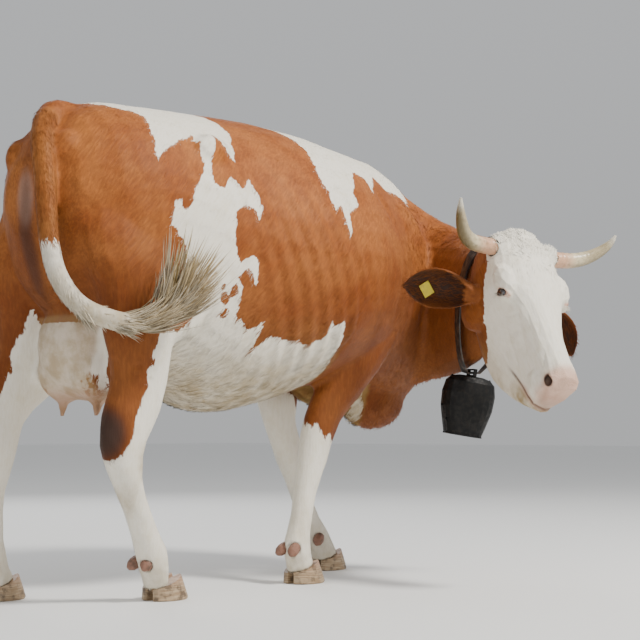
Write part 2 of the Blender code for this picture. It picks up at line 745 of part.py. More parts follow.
def spread_torso():
    """The torso stations, read closer together."""
    rows = [(row[0], 0.0, 0.0, *row[1:]) for row in TORSO]
    return [(row[0], *row[3:]) for row in spread_rows(rows, TORSO_RINGS)]


def neck_shape():
    """The neck, with its rings square to its path."""
    rows = spread_rows(NECK, NECK_RINGS)
    rings = []
    for row, along in zip(rows, directions(rows[:, :3])):
        upward = Vector((0.0, 0.0, 1.0))
        upward = (upward - along * upward.dot(along)).normalized()
        across = along.cross(upward)
        rings.append(oval(row[:3], across, upward, row[3], row[4], row[5], NECK_POWERS))
    return loft("neck_shape", rings)


def head_frame():
    """The head's axes as a 4x4 frame: X down the face, Y to the cow's left, Z off the forehead."""
    return axes(POLL, FACE, OUT_HINT)


def head_shape(frame):
    """The skull and muzzle, lofted down the face."""
    rows = spread_rows([(row[0], 0.0, 0.0, *row[1:]) for row in HEAD], HEAD_RINGS)
    left, out = frame.col[1].xyz, frame.col[2].xyz
    rings = []
    for along, _, _, top, bottom, half_width, widest, *powers in rows:
        centre = frame @ Vector((along, 0.0, widest))
        rings.append(oval(centre, left, out, half_width, top - widest, widest - bottom, powers))
    return loft("head_shape", rings)


def bulge_shapes():
    """The masses of bone and muscle on the body."""
    made = []
    for name, (centre, half_sizes, turn) in BULGES.items():
        made.append(ball(name, centre, half_sizes, Matrix.Rotation(math.radians(turn), 3, "Z")))
    return made


def udder_shapes():
    """The bag, its quarters and the teats, which lean a little outwards."""
    made = [ball("udder_bag", *UDDER_BAG)]
    for index, (x, y) in enumerate(QUARTERS):
        made.append(ball(f"quarter_{index}", (x, y, QUARTER_HEIGHT), QUARTER_SIZE))
        rows = [(x, y * (1.0 + TEAT_LEAN * lean), height, radius) for lean, height, radius in TEAT]
        made.append(round_tube(f"teat_{index}", rows))
    return made


def flesh_shapes(frame):
    """Every soft form of the body, each closed, all overlapping."""
    shapes = [torso_shape(), neck_shape(), head_shape(frame)]
    shapes += bulge_shapes() + udder_shapes()
    legs = {
        "front_right": LEG_FRONT_RIGHT,
        "front_left": LEG_FRONT_LEFT,
        "hind_right": LEG_HIND_RIGHT,
        "hind_left": LEG_HIND_LEFT,
    }
    for name, rows in legs.items():
        shapes.append(limb(f"{name}_shape", rows))
    shapes.append(round_tube("tail_shape", TAIL[: TAIL_CUTS[0] + 1] + [TAIL_STUMP_END]))
    return shapes


def head_bulges(frame):
    """The masses of the head: brows, cheeks, jaws, lips, chin and poll."""
    made = []
    turn = frame.to_3x3()
    for index, (centre, half_sizes) in enumerate(HEAD_BULGES):
        for side in (1, -1) if centre[1] else (1,):
            place = frame @ Vector((centre[0], centre[1] * side, centre[2]))
            made.append(ball(f"head_bulge_{index}_{side}", place, half_sizes, turn))
    return made


def eye_frame(frame, side):
    """An eye's axes: X along its slit, Z out of the head."""
    centre = frame @ Vector((EYE_CENTRE[0], EYE_CENTRE[1] * side, EYE_CENTRE[2]))
    slit = frame.to_3x3() @ Vector((EYE_SLANT[0], EYE_SLANT[1] * side, EYE_SLANT[2]))
    outward = frame.to_3x3() @ Vector((EYE_OUTWARD[0], EYE_OUTWARD[1] * side, EYE_OUTWARD[2]))
    return axes(centre, slit, outward)


def carve_eyes(head, frame):
    """Lids as a shell round each eyeball with an almond opening, and the eyeballs as their own nodes."""
    eyes = []
    lids, cutters = [], []
    for side, word in ((-1, "right"), (1, "left")):
        place = eye_frame(frame, side)
        turn = place.to_3x3()
        lids.append(ball(f"lid_{word}", place.translation, [LID_RADIUS] * 3, turn, 16, 10))
        opening = place @ Vector((0.0, 0.0, EYE_RADIUS + EYE_OPENING_DEPTH))
        cutters.append(ball(f"slit_{word}", opening, EYE_OPENING, turn, 16, 10))
        cutters.append(ball(f"socket_{word}", place.translation, [EYE_RADIUS + GAP * 2] * 3, turn, 16, 10))
        eyes.append(ball(f"eye_{word}", place.translation, [EYE_RADIUS - GAP] * 3, turn, 16, 10))
    combine_all(head, lids, "UNION")
    combine_all(head, cutters, "DIFFERENCE")
    return eyes


def carve_nostrils(head, frame):
    """A slanting hollow on each side of the muzzle."""
    cutters = []
    for side in (-1, 1):
        centre = frame @ Vector((NOSTRIL_CENTRE[0], NOSTRIL_CENTRE[1] * side, NOSTRIL_CENTRE[2]))
        aim = frame.to_3x3() @ Vector((NOSTRIL_AIM[0], NOSTRIL_AIM[1] * side, NOSTRIL_AIM[2]))
        turn = axes(centre, aim, frame.col[2].xyz).to_3x3()
        cutters.append(ball(f"nostril_{side}", centre, NOSTRIL_SIZE, turn, 14, 10))
    combine_all(head, cutters, "DIFFERENCE")


def tree_of(made):
    """A search tree over an object's faces."""
    places = [vertex.co for vertex in made.data.vertices]
    return BVHTree.FromPolygons(places, [face.vertices for face in made.data.polygons])


def carve_mouth(head, frame):
    """A shallow groove round the muzzle between the lips."""
    tree = tree_of(head)
    start = frame @ Vector((MOUTH_CENTRE, 0.0, MOUTH_HEIGHT))
    rows = []
    for step in range(MOUTH_STEPS + 1):
        angle = math.radians(MOUTH_ANGLES[0] + (MOUTH_ANGLES[1] - MOUTH_ANGLES[0]) * step / MOUTH_STEPS)
        drop = MOUTH_DROP * (math.cos(angle) - 1.0)
        way = frame.to_3x3() @ Vector((math.cos(angle), math.sin(angle), drop))
        far = start + way.normalized() * MOUTH_REACH
        hit = tree.ray_cast(far, -way.normalized())[0]
        fade = math.cos(math.pi * abs(step / MOUTH_STEPS - 0.5) * MOUTH_FADE) ** MOUTH_FADE_POWER
        rows.append((*hit, MOUTH_DEPTH * fade))
    combine(head, round_tube("mouth_cut", rows, 1, 6, frame.col[2].xyz), "DIFFERENCE")


def make_horn(name, rows, grown=0.0):
    """A horn, or the slightly wider and longer cutter for its seat."""
    rows = [(x, y, z, radius + grown) for x, y, z, radius in rows]
    inward = (Vector(rows[0][:3]) - Vector(rows[1][:3])).normalized() * grown
    rows[0] = (*(Vector(rows[0][:3]) + inward), rows[0][3])
    return round_tube(name, rows, 2, 12, (0.0, 0.0, 1.0))


def ear_frame(frame, ear):
    """An ear's axes: X to its tip, Z out of its cup."""
    root, aim, mouth = ear
    return axes(frame @ Vector(root), aim, mouth)


def ear_thickness(share):
    """Share of the full wall across the ear: full in the middle and thin at both rims."""
    low, high = EAR_RIM_SHARE
    return low + (high - low) * math.sin(math.pi * (1.0 + EAR_ARC * share) / (EAR_ARC + 2.0))


def ear_cup(name, place):
    """A leaf of constant wall whose section is an open arc, nearly closed at the root."""
    profile = np.array(EAR_PROFILE)
    rings = []
    for t in np.linspace(0.0, 1.0, EAR_RINGS):
        half_width = np.interp(t, profile[:, 0], profile[:, 1])
        opening = math.radians(np.interp(t, profile[:, 0], profile[:, 2]))
        chord = math.sin(min(opening, math.pi) / 2.0)
        radius = half_width / chord
        centre_height = -radius * math.cos(opening / 2.0) if opening < math.pi else 0.0
        along = EAR_STUB_DEPTH + (EAR_LENGTH - EAR_STUB_DEPTH) * t
        lowered = centre_height + EAR_DROOP * math.sin(math.pi * t)
        outer, inner = [], []
        for index in range(EAR_ARC + 1):
            angle = -math.pi / 2.0 + opening * (index / EAR_ARC - 0.5)
            wall = EAR_WALL * ear_thickness(index / EAR_ARC)
            for ring, reach in ((outer, radius), (inner, max(radius - wall, EAR_LEAST_RADIUS))):
                flat, tall = math.cos(angle) * reach, math.sin(angle) * reach
                ring.append(place @ Vector((along, flat, tall - lowered)))
        rings.append(outer + inner[::-1])
    return loft(name, rings)


def make_ear(name, place, head):
    """The cup on its solid stub, and the seat of the stub cut into the head."""
    past, taper = EAR_STUB_END
    rows = [(EAR_STUB_START, EAR_STUB), (EAR_STUB_DEPTH * 0.5, EAR_STUB)]
    seat = [(x - GAP, radius + GAP) for x, radius in rows]
    rows.append((EAR_STUB_DEPTH + past, EAR_STUB * taper))
    seat += [(EAR_STUB_DEPTH - GAP * 2, EAR_STUB + GAP)] + EAR_ROOM
    combine(head, ear_tube("seat", place, seat), "DIFFERENCE")
    ear = ear_cup(name, place)
    combine(ear, ear_tube("stub", place, rows), "UNION")
    return keep_largest(ear)


def ear_tube(name, place, rows):
    """A turned piece along the ear's X axis, from rows of place and radius."""
    across, upward = place.col[1].xyz, place.col[2].xyz
    rings = []
    for x, radius in rows:
        rings.append(circle(place @ Vector((x, 0.0, 0.0)), across, upward, radius, EAR_POINTS))
    return loft(name, rings)


def foot_frame(place, heading):
    """A foot's axes on the floor: X to the toes."""
    turn = Matrix.Rotation(math.radians(heading), 4, "Z")
    return Matrix.Translation((*place, 0.0)) @ turn


def coronet_height(fore):
    """The coronet falls from the toe to the heel."""
    slope = (CLAW_TOE_HEIGHT - CLAW_HEEL_HEIGHT) / (2.0 * CLAW_TOP_REACH)
    return CLAW_HEEL_HEIGHT + slope * (fore + CLAW_TOP_REACH)


def make_claw(name, place, side):
    """One claw: a D in plan, flat at the cleft, sloping out to its sole."""
    rings = []
    for level, spread, shrunk in CLAW_LEVELS:
        reach = CLAW_TOP_REACH + (CLAW_SOLE_REACH - CLAW_TOP_REACH) * spread - shrunk
        width = CLAW_TOP_WIDTH + (CLAW_SOLE_WIDTH - CLAW_TOP_WIDTH) * spread - shrunk * 0.5
        ring = []
        for index in range(CLAW_POINTS):
            angle = 2.0 * math.pi * index / CLAW_POINTS
            fore = math.cos(angle) * reach
            outward = math.sin(angle)
            taper = 1.0 - CLAW_TOE_TAPER * max(math.cos(angle), 0.0) ** 2
            reached = outward * width * taper * (1.0 if outward > 0.0 else CLAW_INSIDE)
            y = side * max(CLAW_CLEFT + width * CLAW_MIDDLE + reached, CLAW_CLEFT)
            height = coronet_height(fore) - GAP
            ring.append(place @ Vector((fore + CLAW_LEAN * level, y, height * (1.0 - level))))
        rings.append(ring)
    return loft(name, rings)


def make_dewclaw(name, place, side, back, leg):
    """A small blunt cone pegged in the back of the fetlock."""
    root, tip = [
        place @ Vector((fore - back, side * across, height))
        for fore, across, height in (DEWCLAW_ROOT, DEWCLAW_TIP)
    ]
    step = (tip - root).normalized() * DEWCLAW_LENGTH / (len(DEWCLAW_RADII) - 1)
    rows = [(*(root + step * index), radius) for index, radius in enumerate(DEWCLAW_RADII)]
    seat = [(*(Vector(row[:3]) - step.normalized() * GAP), row[3] + GAP * 2) for row in rows]
    combine(leg, loft("seat", tube_rings(np.array(seat), DEWCLAW_POINTS, (0, 1, 0))), "DIFFERENCE")
    return loft(name, tube_rings(np.array(rows), DEWCLAW_POINTS, (0, 1, 0)))


def cut_soles(body):
    """Take off what hangs below each sloping coronet."""
    for name, (centre, heading, _) in FEET.items():
        place = foot_frame(centre, heading)
        slope = (CLAW_TOE_HEIGHT - CLAW_HEEL_HEIGHT) / (2.0 * CLAW_TOP_REACH)
        level = coronet_height(0.0)
        along = place.to_3x3() @ Vector((1.0, 0.0, slope))
        frame = axes(place @ Vector((0.0, 0.0, level)), along, (0, 0, 1))
        combine(body, box(f"sole_{name}", frame, *SOLE_BLOCK), "DIFFERENCE")


def tail_rows():
    """The tail's stations, read closer together along its table."""
    return spread_rows(TAIL, (len(TAIL) - 1) * TAIL_STEPS + 1)


def tail_ring_near(station, rows):
    """The ring nearest to a station of the table."""
    place = np.array(TAIL[station][:3])
    return int(np.argmin(np.linalg.norm(rows[:, :3] - place, axis=1)))


def clear_tail(body):
    """Room for the hanging tail in the flesh: past its first cut, and where it brushes the rump."""
    rows = tail_rows()
    cut = tail_ring_near(TAIL_CUTS[0], rows)
    rows[:, 3] += GAP * 2
    rings = tube_rings(rows, TAIL_POINTS, (0.0, 1.0, 0.0))[cut:]
    return combine(body, loft("tail_room", rings), "DIFFERENCE")


def tail_length(name, start, end, ending=()):
    """One length of the tail between two stations, flat at both ends."""
    rows = tail_rows()
    rings, along = tube_rings(rows, TAIL_POINTS, (0.0, 1.0, 0.0)), directions(rows[:, :3])
    first, last = tail_ring_near(start, rows), tail_ring_near(end, rows)
    chosen = [list(ring) for ring in rings[first : last + 1]]
    chosen[0] = [point + along[first] * GAP for point in chosen[0]]
    centre = Vector(rows[last][:3])
    for reach, rise, size in ending:
        move = along[last] * reach + Vector((0.0, 0.0, rise))
        chosen.append([centre + move + (point - centre) * size for point in rings[last]])
    return loft(name, chosen)


def lock(name, root, aim, sweep, length, width, flat_axis):
    """A flat tapered lock along a bent path, four-sided in section."""
    rings = []
    for step in range(LOCK_STEPS + 1):
        t = step / LOCK_STEPS
        centre = root + aim * length * t + sweep * length * t * t
        along = (aim + sweep * 2.0 * t).normalized()
        across = (flat_axis - along * flat_axis.dot(along)).normalized()
        normal = along.cross(across)
        half = width * 0.5 * (0.75 + 0.9 * t) * (1.0 - t) ** 0.55 + LOCK_TIP_HALF_WIDTH
        thick = LOCK_THICKNESS * 0.5 * (1.0 - 0.75 * t) + LOCK_TIP_HALF_THICKNESS
        sides = (across * half, normal * thick, across * -half, normal * -thick)
        rings.append([centre + side for side in sides])
    return loft(name, rings)


def make_switch():
    """The switch: locks swept up and forward from the last length of the tail."""
    draw = random.Random(SWITCH_SEED)
    core = tail_length("tail_switch", TAIL_CUTS[-1], len(TAIL) - 1, SWITCH_ENDING)
    rows = tail_rows()
    start = tail_ring_near(TAIL_CUTS[-1], rows) + 1
    locks = []
    for index in range(SWITCH_LOCKS):
        share = index / (SWITCH_LOCKS - 1)
        row = rows[min(start + int(share * (len(rows) - 1 - start)), len(rows) - 1)]
        fan = draw.uniform(-1.0, 1.0)
        root = Vector(row[:3]) + LOCK_ROOT_FAN * row[3] * fan
        length = LOCK_LENGTH + LOCK_GROWTH * share + draw.uniform(-LOCK_STRAY, LOCK_STRAY)
        aim = LOCK_AIM + LOCK_AIM_FAN * fan
        aim.y += LOCK_AIM_STRAY * draw.uniform(-1, 1)
        sweep = LOCK_SWEEP + LOCK_SWEEP_FAN * fan
        sweep.z += LOCK_SWEEP_STRAY * draw.uniform(-1, 1)
        width = draw.uniform(*LOCK_WIDTHS)
        locks.append(lock(f"lock_{index}", root, aim, sweep, length, width, LOCK_FLAT))
    combine_all(core, locks, "UNION", "MANIFOLD")
    return keep_largest(core)


def strap_frame():
    """The collar's plane: X to the cow's far side, Z up, Y along the neck."""
    return axes((STRAP_TOP + STRAP_LOW) / 2.0, STRAP_SIDE, STRAP_TOP - STRAP_LOW)


def strap_ring(tree, count):
    """Reach of the neck's surface in the collar's plane, smoothed as a taut strap lies."""
    frame = strap_frame()
    reach = []
    for index in range(count):
        angle = 2.0 * math.pi * index / count
        way = frame.to_3x3() @ Vector((math.cos(angle), 0.0, math.sin(angle)))
        far = 0.0
        for shift in np.linspace(-0.55, 0.55, 9):
            centre = frame @ Vector((0.0, STRAP_WIDTH * shift, 0.0))
            hit = tree.ray_cast(centre, way, 0.6)
            if hit[0] is not None:
                far = max(far, (hit[0] - centre).dot(way))
        reach.append(far)
    return frame, reach


def make_collar(tree):
    """A closed strap round the neck, slack at the throat where the bell drags it."""
    frame, reach = strap_ring(tree, STRAP_STEPS * 3)
    points = []
    for index, distance in enumerate(reach):
        angle = 2.0 * math.pi * index / len(reach)
        points.append(Vector((math.cos(angle), math.sin(angle))) * distance)
    outline = taut_outline(points, STRAP_STEPS)
    rings, middles = [], []
    for point, normal in outline:
        outward = (frame.to_3x3() @ Vector((normal.x, 0.0, normal.y))).normalized()
        hang = max(0.0, -normal.y) ** 2
        inner = STRAP_CLEARANCE + STRAP_SLACK * hang
        run = outward.cross(frame.col[1].xyz)
        level = BELL_UP.cross(run).normalized()
        level *= math.copysign(1.0, level.dot(frame.col[1].xyz))
        across = frame.col[1].xyz * (1.0 - hang) + level * hang
        across = (across - run * across.dot(run)).normalized()
        thick = across.cross(run) * math.copysign(1.0, across.cross(run).dot(outward))
        middle = frame @ Vector((point.x, 0.0, point.y)) + outward * (inner + STRAP_THICKNESS / 2.0)
        ring = []
        for depth, shift in ((-0.5, -0.5), (0.5, -0.5), (0.5, 0.5), (-0.5, 0.5)):
            ring.append(middle + thick * STRAP_THICKNESS * depth + across * STRAP_WIDTH * shift)
        rings.append(ring)
        middles.append(middle)
    spans = [(middles[index - 1], middles[index]) for index in range(STRAP_STEPS)]
    start, end = min(spans, key=lambda span: ((span[0] + span[1]) / 2.0 - BELL_PLACE).length)
    place = hanging_frame(frame, (start + end) / 2.0, (end - start).normalized())
    return closed_band("collar", rings), place


def hanging_frame(frame, place, run):
    """The bell's axes on a straight of the strap: X along it, Z up the bell."""
    if run.dot(frame.col[0].xyz) < 0:
        run = -run
    return axes(place, run - BELL_UP * run.dot(BELL_UP), BELL_UP)


def taut_outline(points, count):
    """The convex outline round the points, stepped evenly, with its outward normals."""
    ordered = sorted(points, key=lambda p: (p.x, p.y))
    chains = []
    for run in (ordered, ordered[::-1]):
        chain = []
        for point in run:
            while len(chain) > 1 and (chain[-1] - chain[-2]).cross(point - chain[-2]) <= 0:
                chain.pop()
            chain.append(point)
        chains.append(chain[:-1])
    hull = chains[0] + chains[1]
    steps = [(hull[(i + 1) % len(hull)] - hull[i]).length for i in range(len(hull))]
    total = sum(steps)
    result = []
    for index in range(count):
        goal, span = total * index / count, 0
        while goal > steps[span]:
            goal -= steps[span]
            span += 1
        start, end = hull[span], hull[(span + 1) % len(hull)]
        result.append(start + (end - start) * (goal / steps[span]))
    placed = []
    for index in range(count):
        before, after = result[index - 1], result[(index + 1) % count]
        run = (after - before).normalized()
        placed.append((result[index], Vector((run.y, -run.x))))
    return placed


def closed_band(name, rings):
    """A band whose last ring joins its first."""
    count = len(rings[0])
    vertices = [point for ring in rings for point in ring]
    faces = []
    for row in range(len(rings)):
        after = (row + 1) % len(rings)
        for index in range(count):
            beside = (index + 1) % count
            near, far = row * count, after * count
            faces.append((near + index, near + beside, far + beside))
            faces.append((near + index, far + beside, far + index))
    return add_mesh(name, vertices, faces)


def crown_height():
    """Where the bell's crown lies under the middle of the strap."""
    return -(STRAP_THICKNESS / 2.0 + STAPLE_ROOM + STAPLE_BAR + GAP)


def make_bell(place):
    """Sheet-metal bell: an open shell, broad under the shoulder and narrower at the mouth."""
    rings = []
    for depth, half_x, half_y in BELL_PROFILE:
        rings.append(bell_ring(place, depth, half_x, half_y))
    for depth, half_x, half_y in reversed(BELL_PROFILE):
        inner_depth = depth if depth == BELL_PROFILE[-1][0] else depth + BELL_WALL
        rings.append(bell_ring(place, inner_depth, half_x - BELL_WALL, half_y - BELL_WALL))
    return loft("bell", rings)


def bell_ring(place, depth, half_x, half_y):
    """A rounded rectangle across the bell at a depth under its crown."""
    centre = place @ Vector((0.0, 0.0, crown_height() - depth))
    across, fore = place.col[0].xyz, place.col[1].xyz
    return oval(centre, across, fore, half_x, half_y, half_y, BELL_POWERS, BELL_POINTS)


def make_clapper(place):
    """An iron rod with a ball, hung from the bell's crown."""
    top = crown_height() - BELL_WALL - GAP
    rings = []
    for depth, radius in CLAPPER:
        centre = place @ Vector((0.0, 0.0, top - depth))
        rings.append(circle(centre, place.col[0].xyz, place.col[1].xyz, radius, CLAPPER_POINTS))
    return loft("bell_clapper", rings)


def make_staple(place):
    """The flat iron loop on the crown, which the strap runs through."""
    inner_y = STRAP_WIDTH / 2.0 + STAPLE_ROOM
    inner_z = STRAP_THICKNESS / 2.0 + STAPLE_ROOM
    rings = []
    for side_y, side_z in ((-1, -1), (1, -1), (1, 1), (-1, 1)):
        ring = []
        for x, grow in ((-STAPLE_HALF, 0.0), (-STAPLE_HALF, 1.0), (STAPLE_HALF, 1.0), (STAPLE_HALF, 0.0)):
            y = side_y * (inner_y + STAPLE_BAR * grow)
            z = side_z * (inner_z + STAPLE_BAR * grow)
            ring.append(place @ Vector((x, y, z)))
        rings.append(ring)
    return closed_band("bell_staple", rings)


def make_tag(ear_place, ear):
    """A two-piece tag: a bare plate in the cup, a stem through the ear and a button behind it."""
    wide, tall, thick = TAG_SIZE
    place = ear_place @ Matrix.Translation(TAG_PLACE)
    for degrees, axis in TAG_TURNS:
        place = place @ Matrix.Rotation(math.radians(degrees), 4, axis)
    stem_low, stem_high = TAG_BACK - TAG_OVERLAP, TAG_FRONT + TAG_OVERLAP
    combine(ear, tag_disc(place, stem_low, stem_high, TAG_STEM + GAP * 2), "DIFFERENCE")
    keep_largest(ear)
    low, high = (-wide / 2, -tall / 2, TAG_FRONT), (wide / 2, tall / 2, TAG_FRONT + thick)
    plate = box("ear_tag", place, low, high)
    stem = tag_disc(place, stem_low, stem_high, TAG_STEM)
    button = tag_disc(place, TAG_BACK - thick, TAG_BACK, TAG_BUTTON)
    combine_all(plate, [stem, button], "UNION")
    return keep_largest(plate)


def tag_disc(place, low, high, radius):
    """A round piece of the tag between two heights over the ear's wall."""
    across, along = place.col[0].xyz, place.col[1].xyz
    rings = []
    for z in (low, high):
        rings.append(circle(place @ Vector((0, 0, z)), across, along, radius, TAG_POINTS))
    return loft("disc", rings)


def centre_on_floor():
    """Move everything so that the whole box stands on the floor over the origin."""
    shown = [each for each in bpy.data.objects if each.type == "MESH"]
    corners = np.array([vertex.co for each in shown for vertex in each.data.vertices])
    low, high = corners.min(axis=0), corners.max(axis=0)
    offset = Vector((-(low[0] + high[0]) / 2.0, -(low[1] + high[1]) / 2.0, 0.0))
    for each in shown:
        each.data.transform(Matrix.Translation(offset))
    return offset


def paint(names, colour, roughness, metallic=0.0):
    """Give each named object its own material and smooth shading."""
    for name in names:
        made = bpy.data.objects[name]
        made.data.materials.clear()
        made.data.materials.append(material(f"{name}_finish", colour, roughness, metallic))
        made.data.shade_smooth()
        made.data.set_sharp_from_angle(angle=math.radians(40.0))


def main():
    remove_old_objects()
    frame = head_frame()
    head = join("head", [neck_shape(), head_shape(frame)] + head_bulges(frame))
    fuse_by_voxels(head, HEAD_VOXEL, 5)
    thin_out(head, HEAD_TRIANGLES)
    body = join("torso", flesh_shapes(frame))
    fuse_by_voxels(body, BODY_VOXEL, 6)
    thin_out(body, BODY_TRIANGLES)
    neck_tree = tree_of(body)

    head_axes = axes(*HEAD_PLANE, (0, 0, 1))
    combine(head, box("cutter", head_axes, *HEAD_BLOCK), "INTERSECT")
    keep_largest(head)
    clear_box(body, head_axes, *HEAD_BLOCK)
    eyes = carve_eyes(head, frame)
    carve_nostrils(head, frame)
    carve_mouth(head, frame)
    horns = []
    for side, rows in (("right", HORN_RIGHT), ("left", HORN_LEFT)):
        combine(head, make_horn("seat", rows, GAP * 1.5), "DIFFERENCE")
        horns.append(make_horn(f"horn_{side}", rows))
    right_place = ear_frame(frame, EAR_RIGHT)
    ear_right = make_ear("ear_right", right_place, head)
    ear_left = make_ear("ear_left", ear_frame(frame, EAR_LEFT), head)
    make_tag(right_place, ear_right)
    keep_largest(head)

    clear_tail(body)
    neck = part_off(body, "neck", axes(*NECK_PLANE, (0, 0, 1)), *NECK_BLOCK)
    udder = part_off(body, "udder", Matrix.Identity(4), *UDDER_BLOCK)
    cut_soles(body)
    claws, dewclaws = [], []
    legs = {name: part_leg(body, name) for name in LEG_BLOCKS}
    for foot, (centre, heading, back) in FEET.items():
        place = foot_frame(centre, heading)
        for side, word in ((-1, "right"), (1, "left")):
            claws.append(make_claw(f"claw_{foot}_{word}", place, side))
            leg = legs[f"leg_{foot}"]
            dewclaws.append(make_dewclaw(f"dewclaw_{foot}_{word}", place, side, back, leg))
        keep_largest(leg)
    keep_largest(body)

    tails = [
        tail_length("tail_upper", TAIL_CUTS[0], TAIL_CUTS[1]),
        tail_length("tail_middle", TAIL_CUTS[1], TAIL_CUTS[2]),
        tail_length("tail_lower", TAIL_CUTS[2], TAIL_CUTS[3]),
        make_switch(),
    ]
    collar, place = make_collar(neck_tree)
    make_bell(place)
    make_clapper(place)
    make_staple(place)

    flesh = [body, head, neck, udder, ear_right, ear_left, *legs.values(), *tails[:2]]
    paint([each.name for each in flesh], RED_COAT, 0.75)
    paint([tails[2].name, tails[3].name], CREAM_HAIR, 0.8)
    paint([each.name for each in horns], HORN_COLOUR, 0.4)
    paint([each.name for each in eyes], EYE_COLOUR, 0.05)
    paint([each.name for each in claws + dewclaws], CLAW_COLOUR, 0.5)
    paint(["collar"], LEATHER_COLOUR, 0.6)
    paint(["bell", "bell_clapper", "bell_staple"], IRON_COLOUR, 0.5, 0.8)
    paint(["ear_tag"], TAG_COLOUR, 0.4)
    return centre_on_floor()


PLACED = main()
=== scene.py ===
"""The looks of a life-size still model of a red and white dairy cow.

One skin is fused over the CAD flesh, smoothed, drawn in by the coat's depth and given folds. Its
markings are outlines in the cow's own axes, kept on the mesh, and the tufts of the coat take them
over from the skin at their roots. The horns are finer copies of their CAD nodes. The claws, eyes,
collar, bell and tag keep their CAD shape and get new finishes, and the bell gets a bead and rivets.
"""

import math

import bmesh
import bpy
import numpy as np
from mathutils import Euler, Matrix, Vector, noise
from mathutils.kdtree import KDTree


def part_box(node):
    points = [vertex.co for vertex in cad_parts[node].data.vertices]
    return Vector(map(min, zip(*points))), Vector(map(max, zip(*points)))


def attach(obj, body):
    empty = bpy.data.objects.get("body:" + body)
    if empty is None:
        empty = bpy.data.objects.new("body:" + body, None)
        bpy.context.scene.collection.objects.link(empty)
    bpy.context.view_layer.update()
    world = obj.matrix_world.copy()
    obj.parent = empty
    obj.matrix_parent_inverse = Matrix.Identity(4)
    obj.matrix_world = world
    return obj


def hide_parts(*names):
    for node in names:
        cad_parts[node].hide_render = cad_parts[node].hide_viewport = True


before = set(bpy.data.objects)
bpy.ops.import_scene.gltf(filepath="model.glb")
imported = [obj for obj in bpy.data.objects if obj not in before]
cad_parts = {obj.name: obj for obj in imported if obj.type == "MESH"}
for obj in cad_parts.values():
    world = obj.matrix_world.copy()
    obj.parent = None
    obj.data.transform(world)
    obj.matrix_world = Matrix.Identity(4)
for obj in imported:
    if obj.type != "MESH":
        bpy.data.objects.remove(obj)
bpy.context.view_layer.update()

# Camera: place, heading and rise in degrees, and focal length for a 36 mm wide frame
CAMERA_PLACE = (-3.3337, -2.9600, 0.4760)
CAMERA_HEADING = 41.2
CAMERA_RISE = 4.35
CAMERA_LENS = 82.46

# The head's own axes: origin at the poll, X down the face, Y to the cow's left, Z off the forehead
POLL = Vector((0.5383, -0.4220, 1.0900))
FACE = Vector((-0.2848, -0.5087, -0.8125))
FOREHEAD = Vector((-0.2040, -0.7960, 0.5699))

# The cow's middle plane along the trunk, and how near to it the back is unrolled sideways
TRUNK_MIDDLE = 0.300
BACK_REACH = 0.200

# Fineness of the skin
BODY_VOXEL = 0.0062
HEAD_VOXEL = 0.0028
OVERLAP = 0.0009

TRUNK = ["torso", "neck", "udder"]
LEGS = ["leg_front_right", "leg_front_left", "leg_hind_right", "leg_hind_left"]
TAIL = ["tail_upper", "tail_middle", "tail_lower"]
FACE_NODES = ["head", "ear_right", "ear_left"]
FLESH = TRUNK + LEGS + TAIL + FACE_NODES

# Depth that the skin lies inside the solids
COAT_DEPTH = {"torso": 0.0028, "neck": 0.0045, "udder": 0.0010, "head": 0.0022, "ear": 0.0006,
              "leg": 0.0030, "tail": 0.0040}

# White patches on the trunk as outlines in metres: along the cow, and height plus the way over the back
WHITE_RIGHT = [
    [(-0.690, 1.66), (-0.655, 1.520), (-0.612, 1.462), (-0.569, 1.443), (-0.554, 1.414), (-0.565, 1.332),
     (-0.586, 1.236), (-0.558, 1.264), (-0.494, 1.298), (-0.411, 1.335), (-0.418, 1.304), (-0.412, 1.263),
     (-0.418, 1.220), (-0.455, 1.170), (-0.480, 1.134), (-0.510, 1.094), (-0.519, 1.127), (-0.542, 1.113),
     (-0.550, 1.051), (-0.505, 1.004), (-0.487, 0.967), (-0.498, 0.901), (-0.490, 0.845), (-0.469, 0.801),
     (-0.545, 0.725), (-0.450, 0.400), (0.160, 0.400), (0.150, 0.640), (0.129, 0.702), (0.128, 0.768),
     (0.108, 0.822), (0.070, 0.800), (0.055, 0.812), (0.040, 0.764), (-0.010, 0.738), (-0.052, 0.744),
     (-0.119, 0.748), (-0.170, 0.760), (-0.222, 0.707), (-0.196, 0.800), (-0.246, 0.776), (-0.292, 0.808),
     (-0.289, 0.852), (-0.283, 0.898), (-0.307, 0.920), (-0.275, 0.957), (-0.246, 0.905), (-0.237, 0.962),
     (-0.257, 0.989), (-0.303, 0.966), (-0.318, 0.996), (-0.322, 1.058), (-0.314, 1.115), (-0.263, 1.140),
     (-0.238, 1.131), (-0.232, 1.088), (-0.209, 1.133), (-0.219, 1.182), (-0.238, 1.222), (-0.275, 1.188),
     (-0.317, 1.222), (-0.345, 1.180), (-0.389, 1.187), (-0.385, 1.217), (-0.373, 1.267), (-0.348, 1.345),
     (-0.322, 1.316), (-0.270, 1.270), (-0.222, 1.400), (-0.236, 1.494), (-0.290, 1.66)],
    [(0.010, 1.66), (0.045, 1.520), (0.074, 1.442), (0.085, 1.363), (0.062, 1.277), (0.075, 1.216),
     (0.078, 1.150), (0.105, 1.176), (0.117, 1.116), (0.122, 1.076), (0.146, 1.154), (0.205, 1.190),
     (0.202, 1.233), (0.276, 1.312), (0.335, 1.302), (0.340, 1.252), (0.440, 1.332), (0.489, 1.276),
     (0.600, 1.318), (0.680, 1.310), (0.740, 1.66)],
    [(0.470, 0.560), (0.500, 0.700), (0.530, 0.745), (0.555, 0.700), (0.570, 0.560)],
]
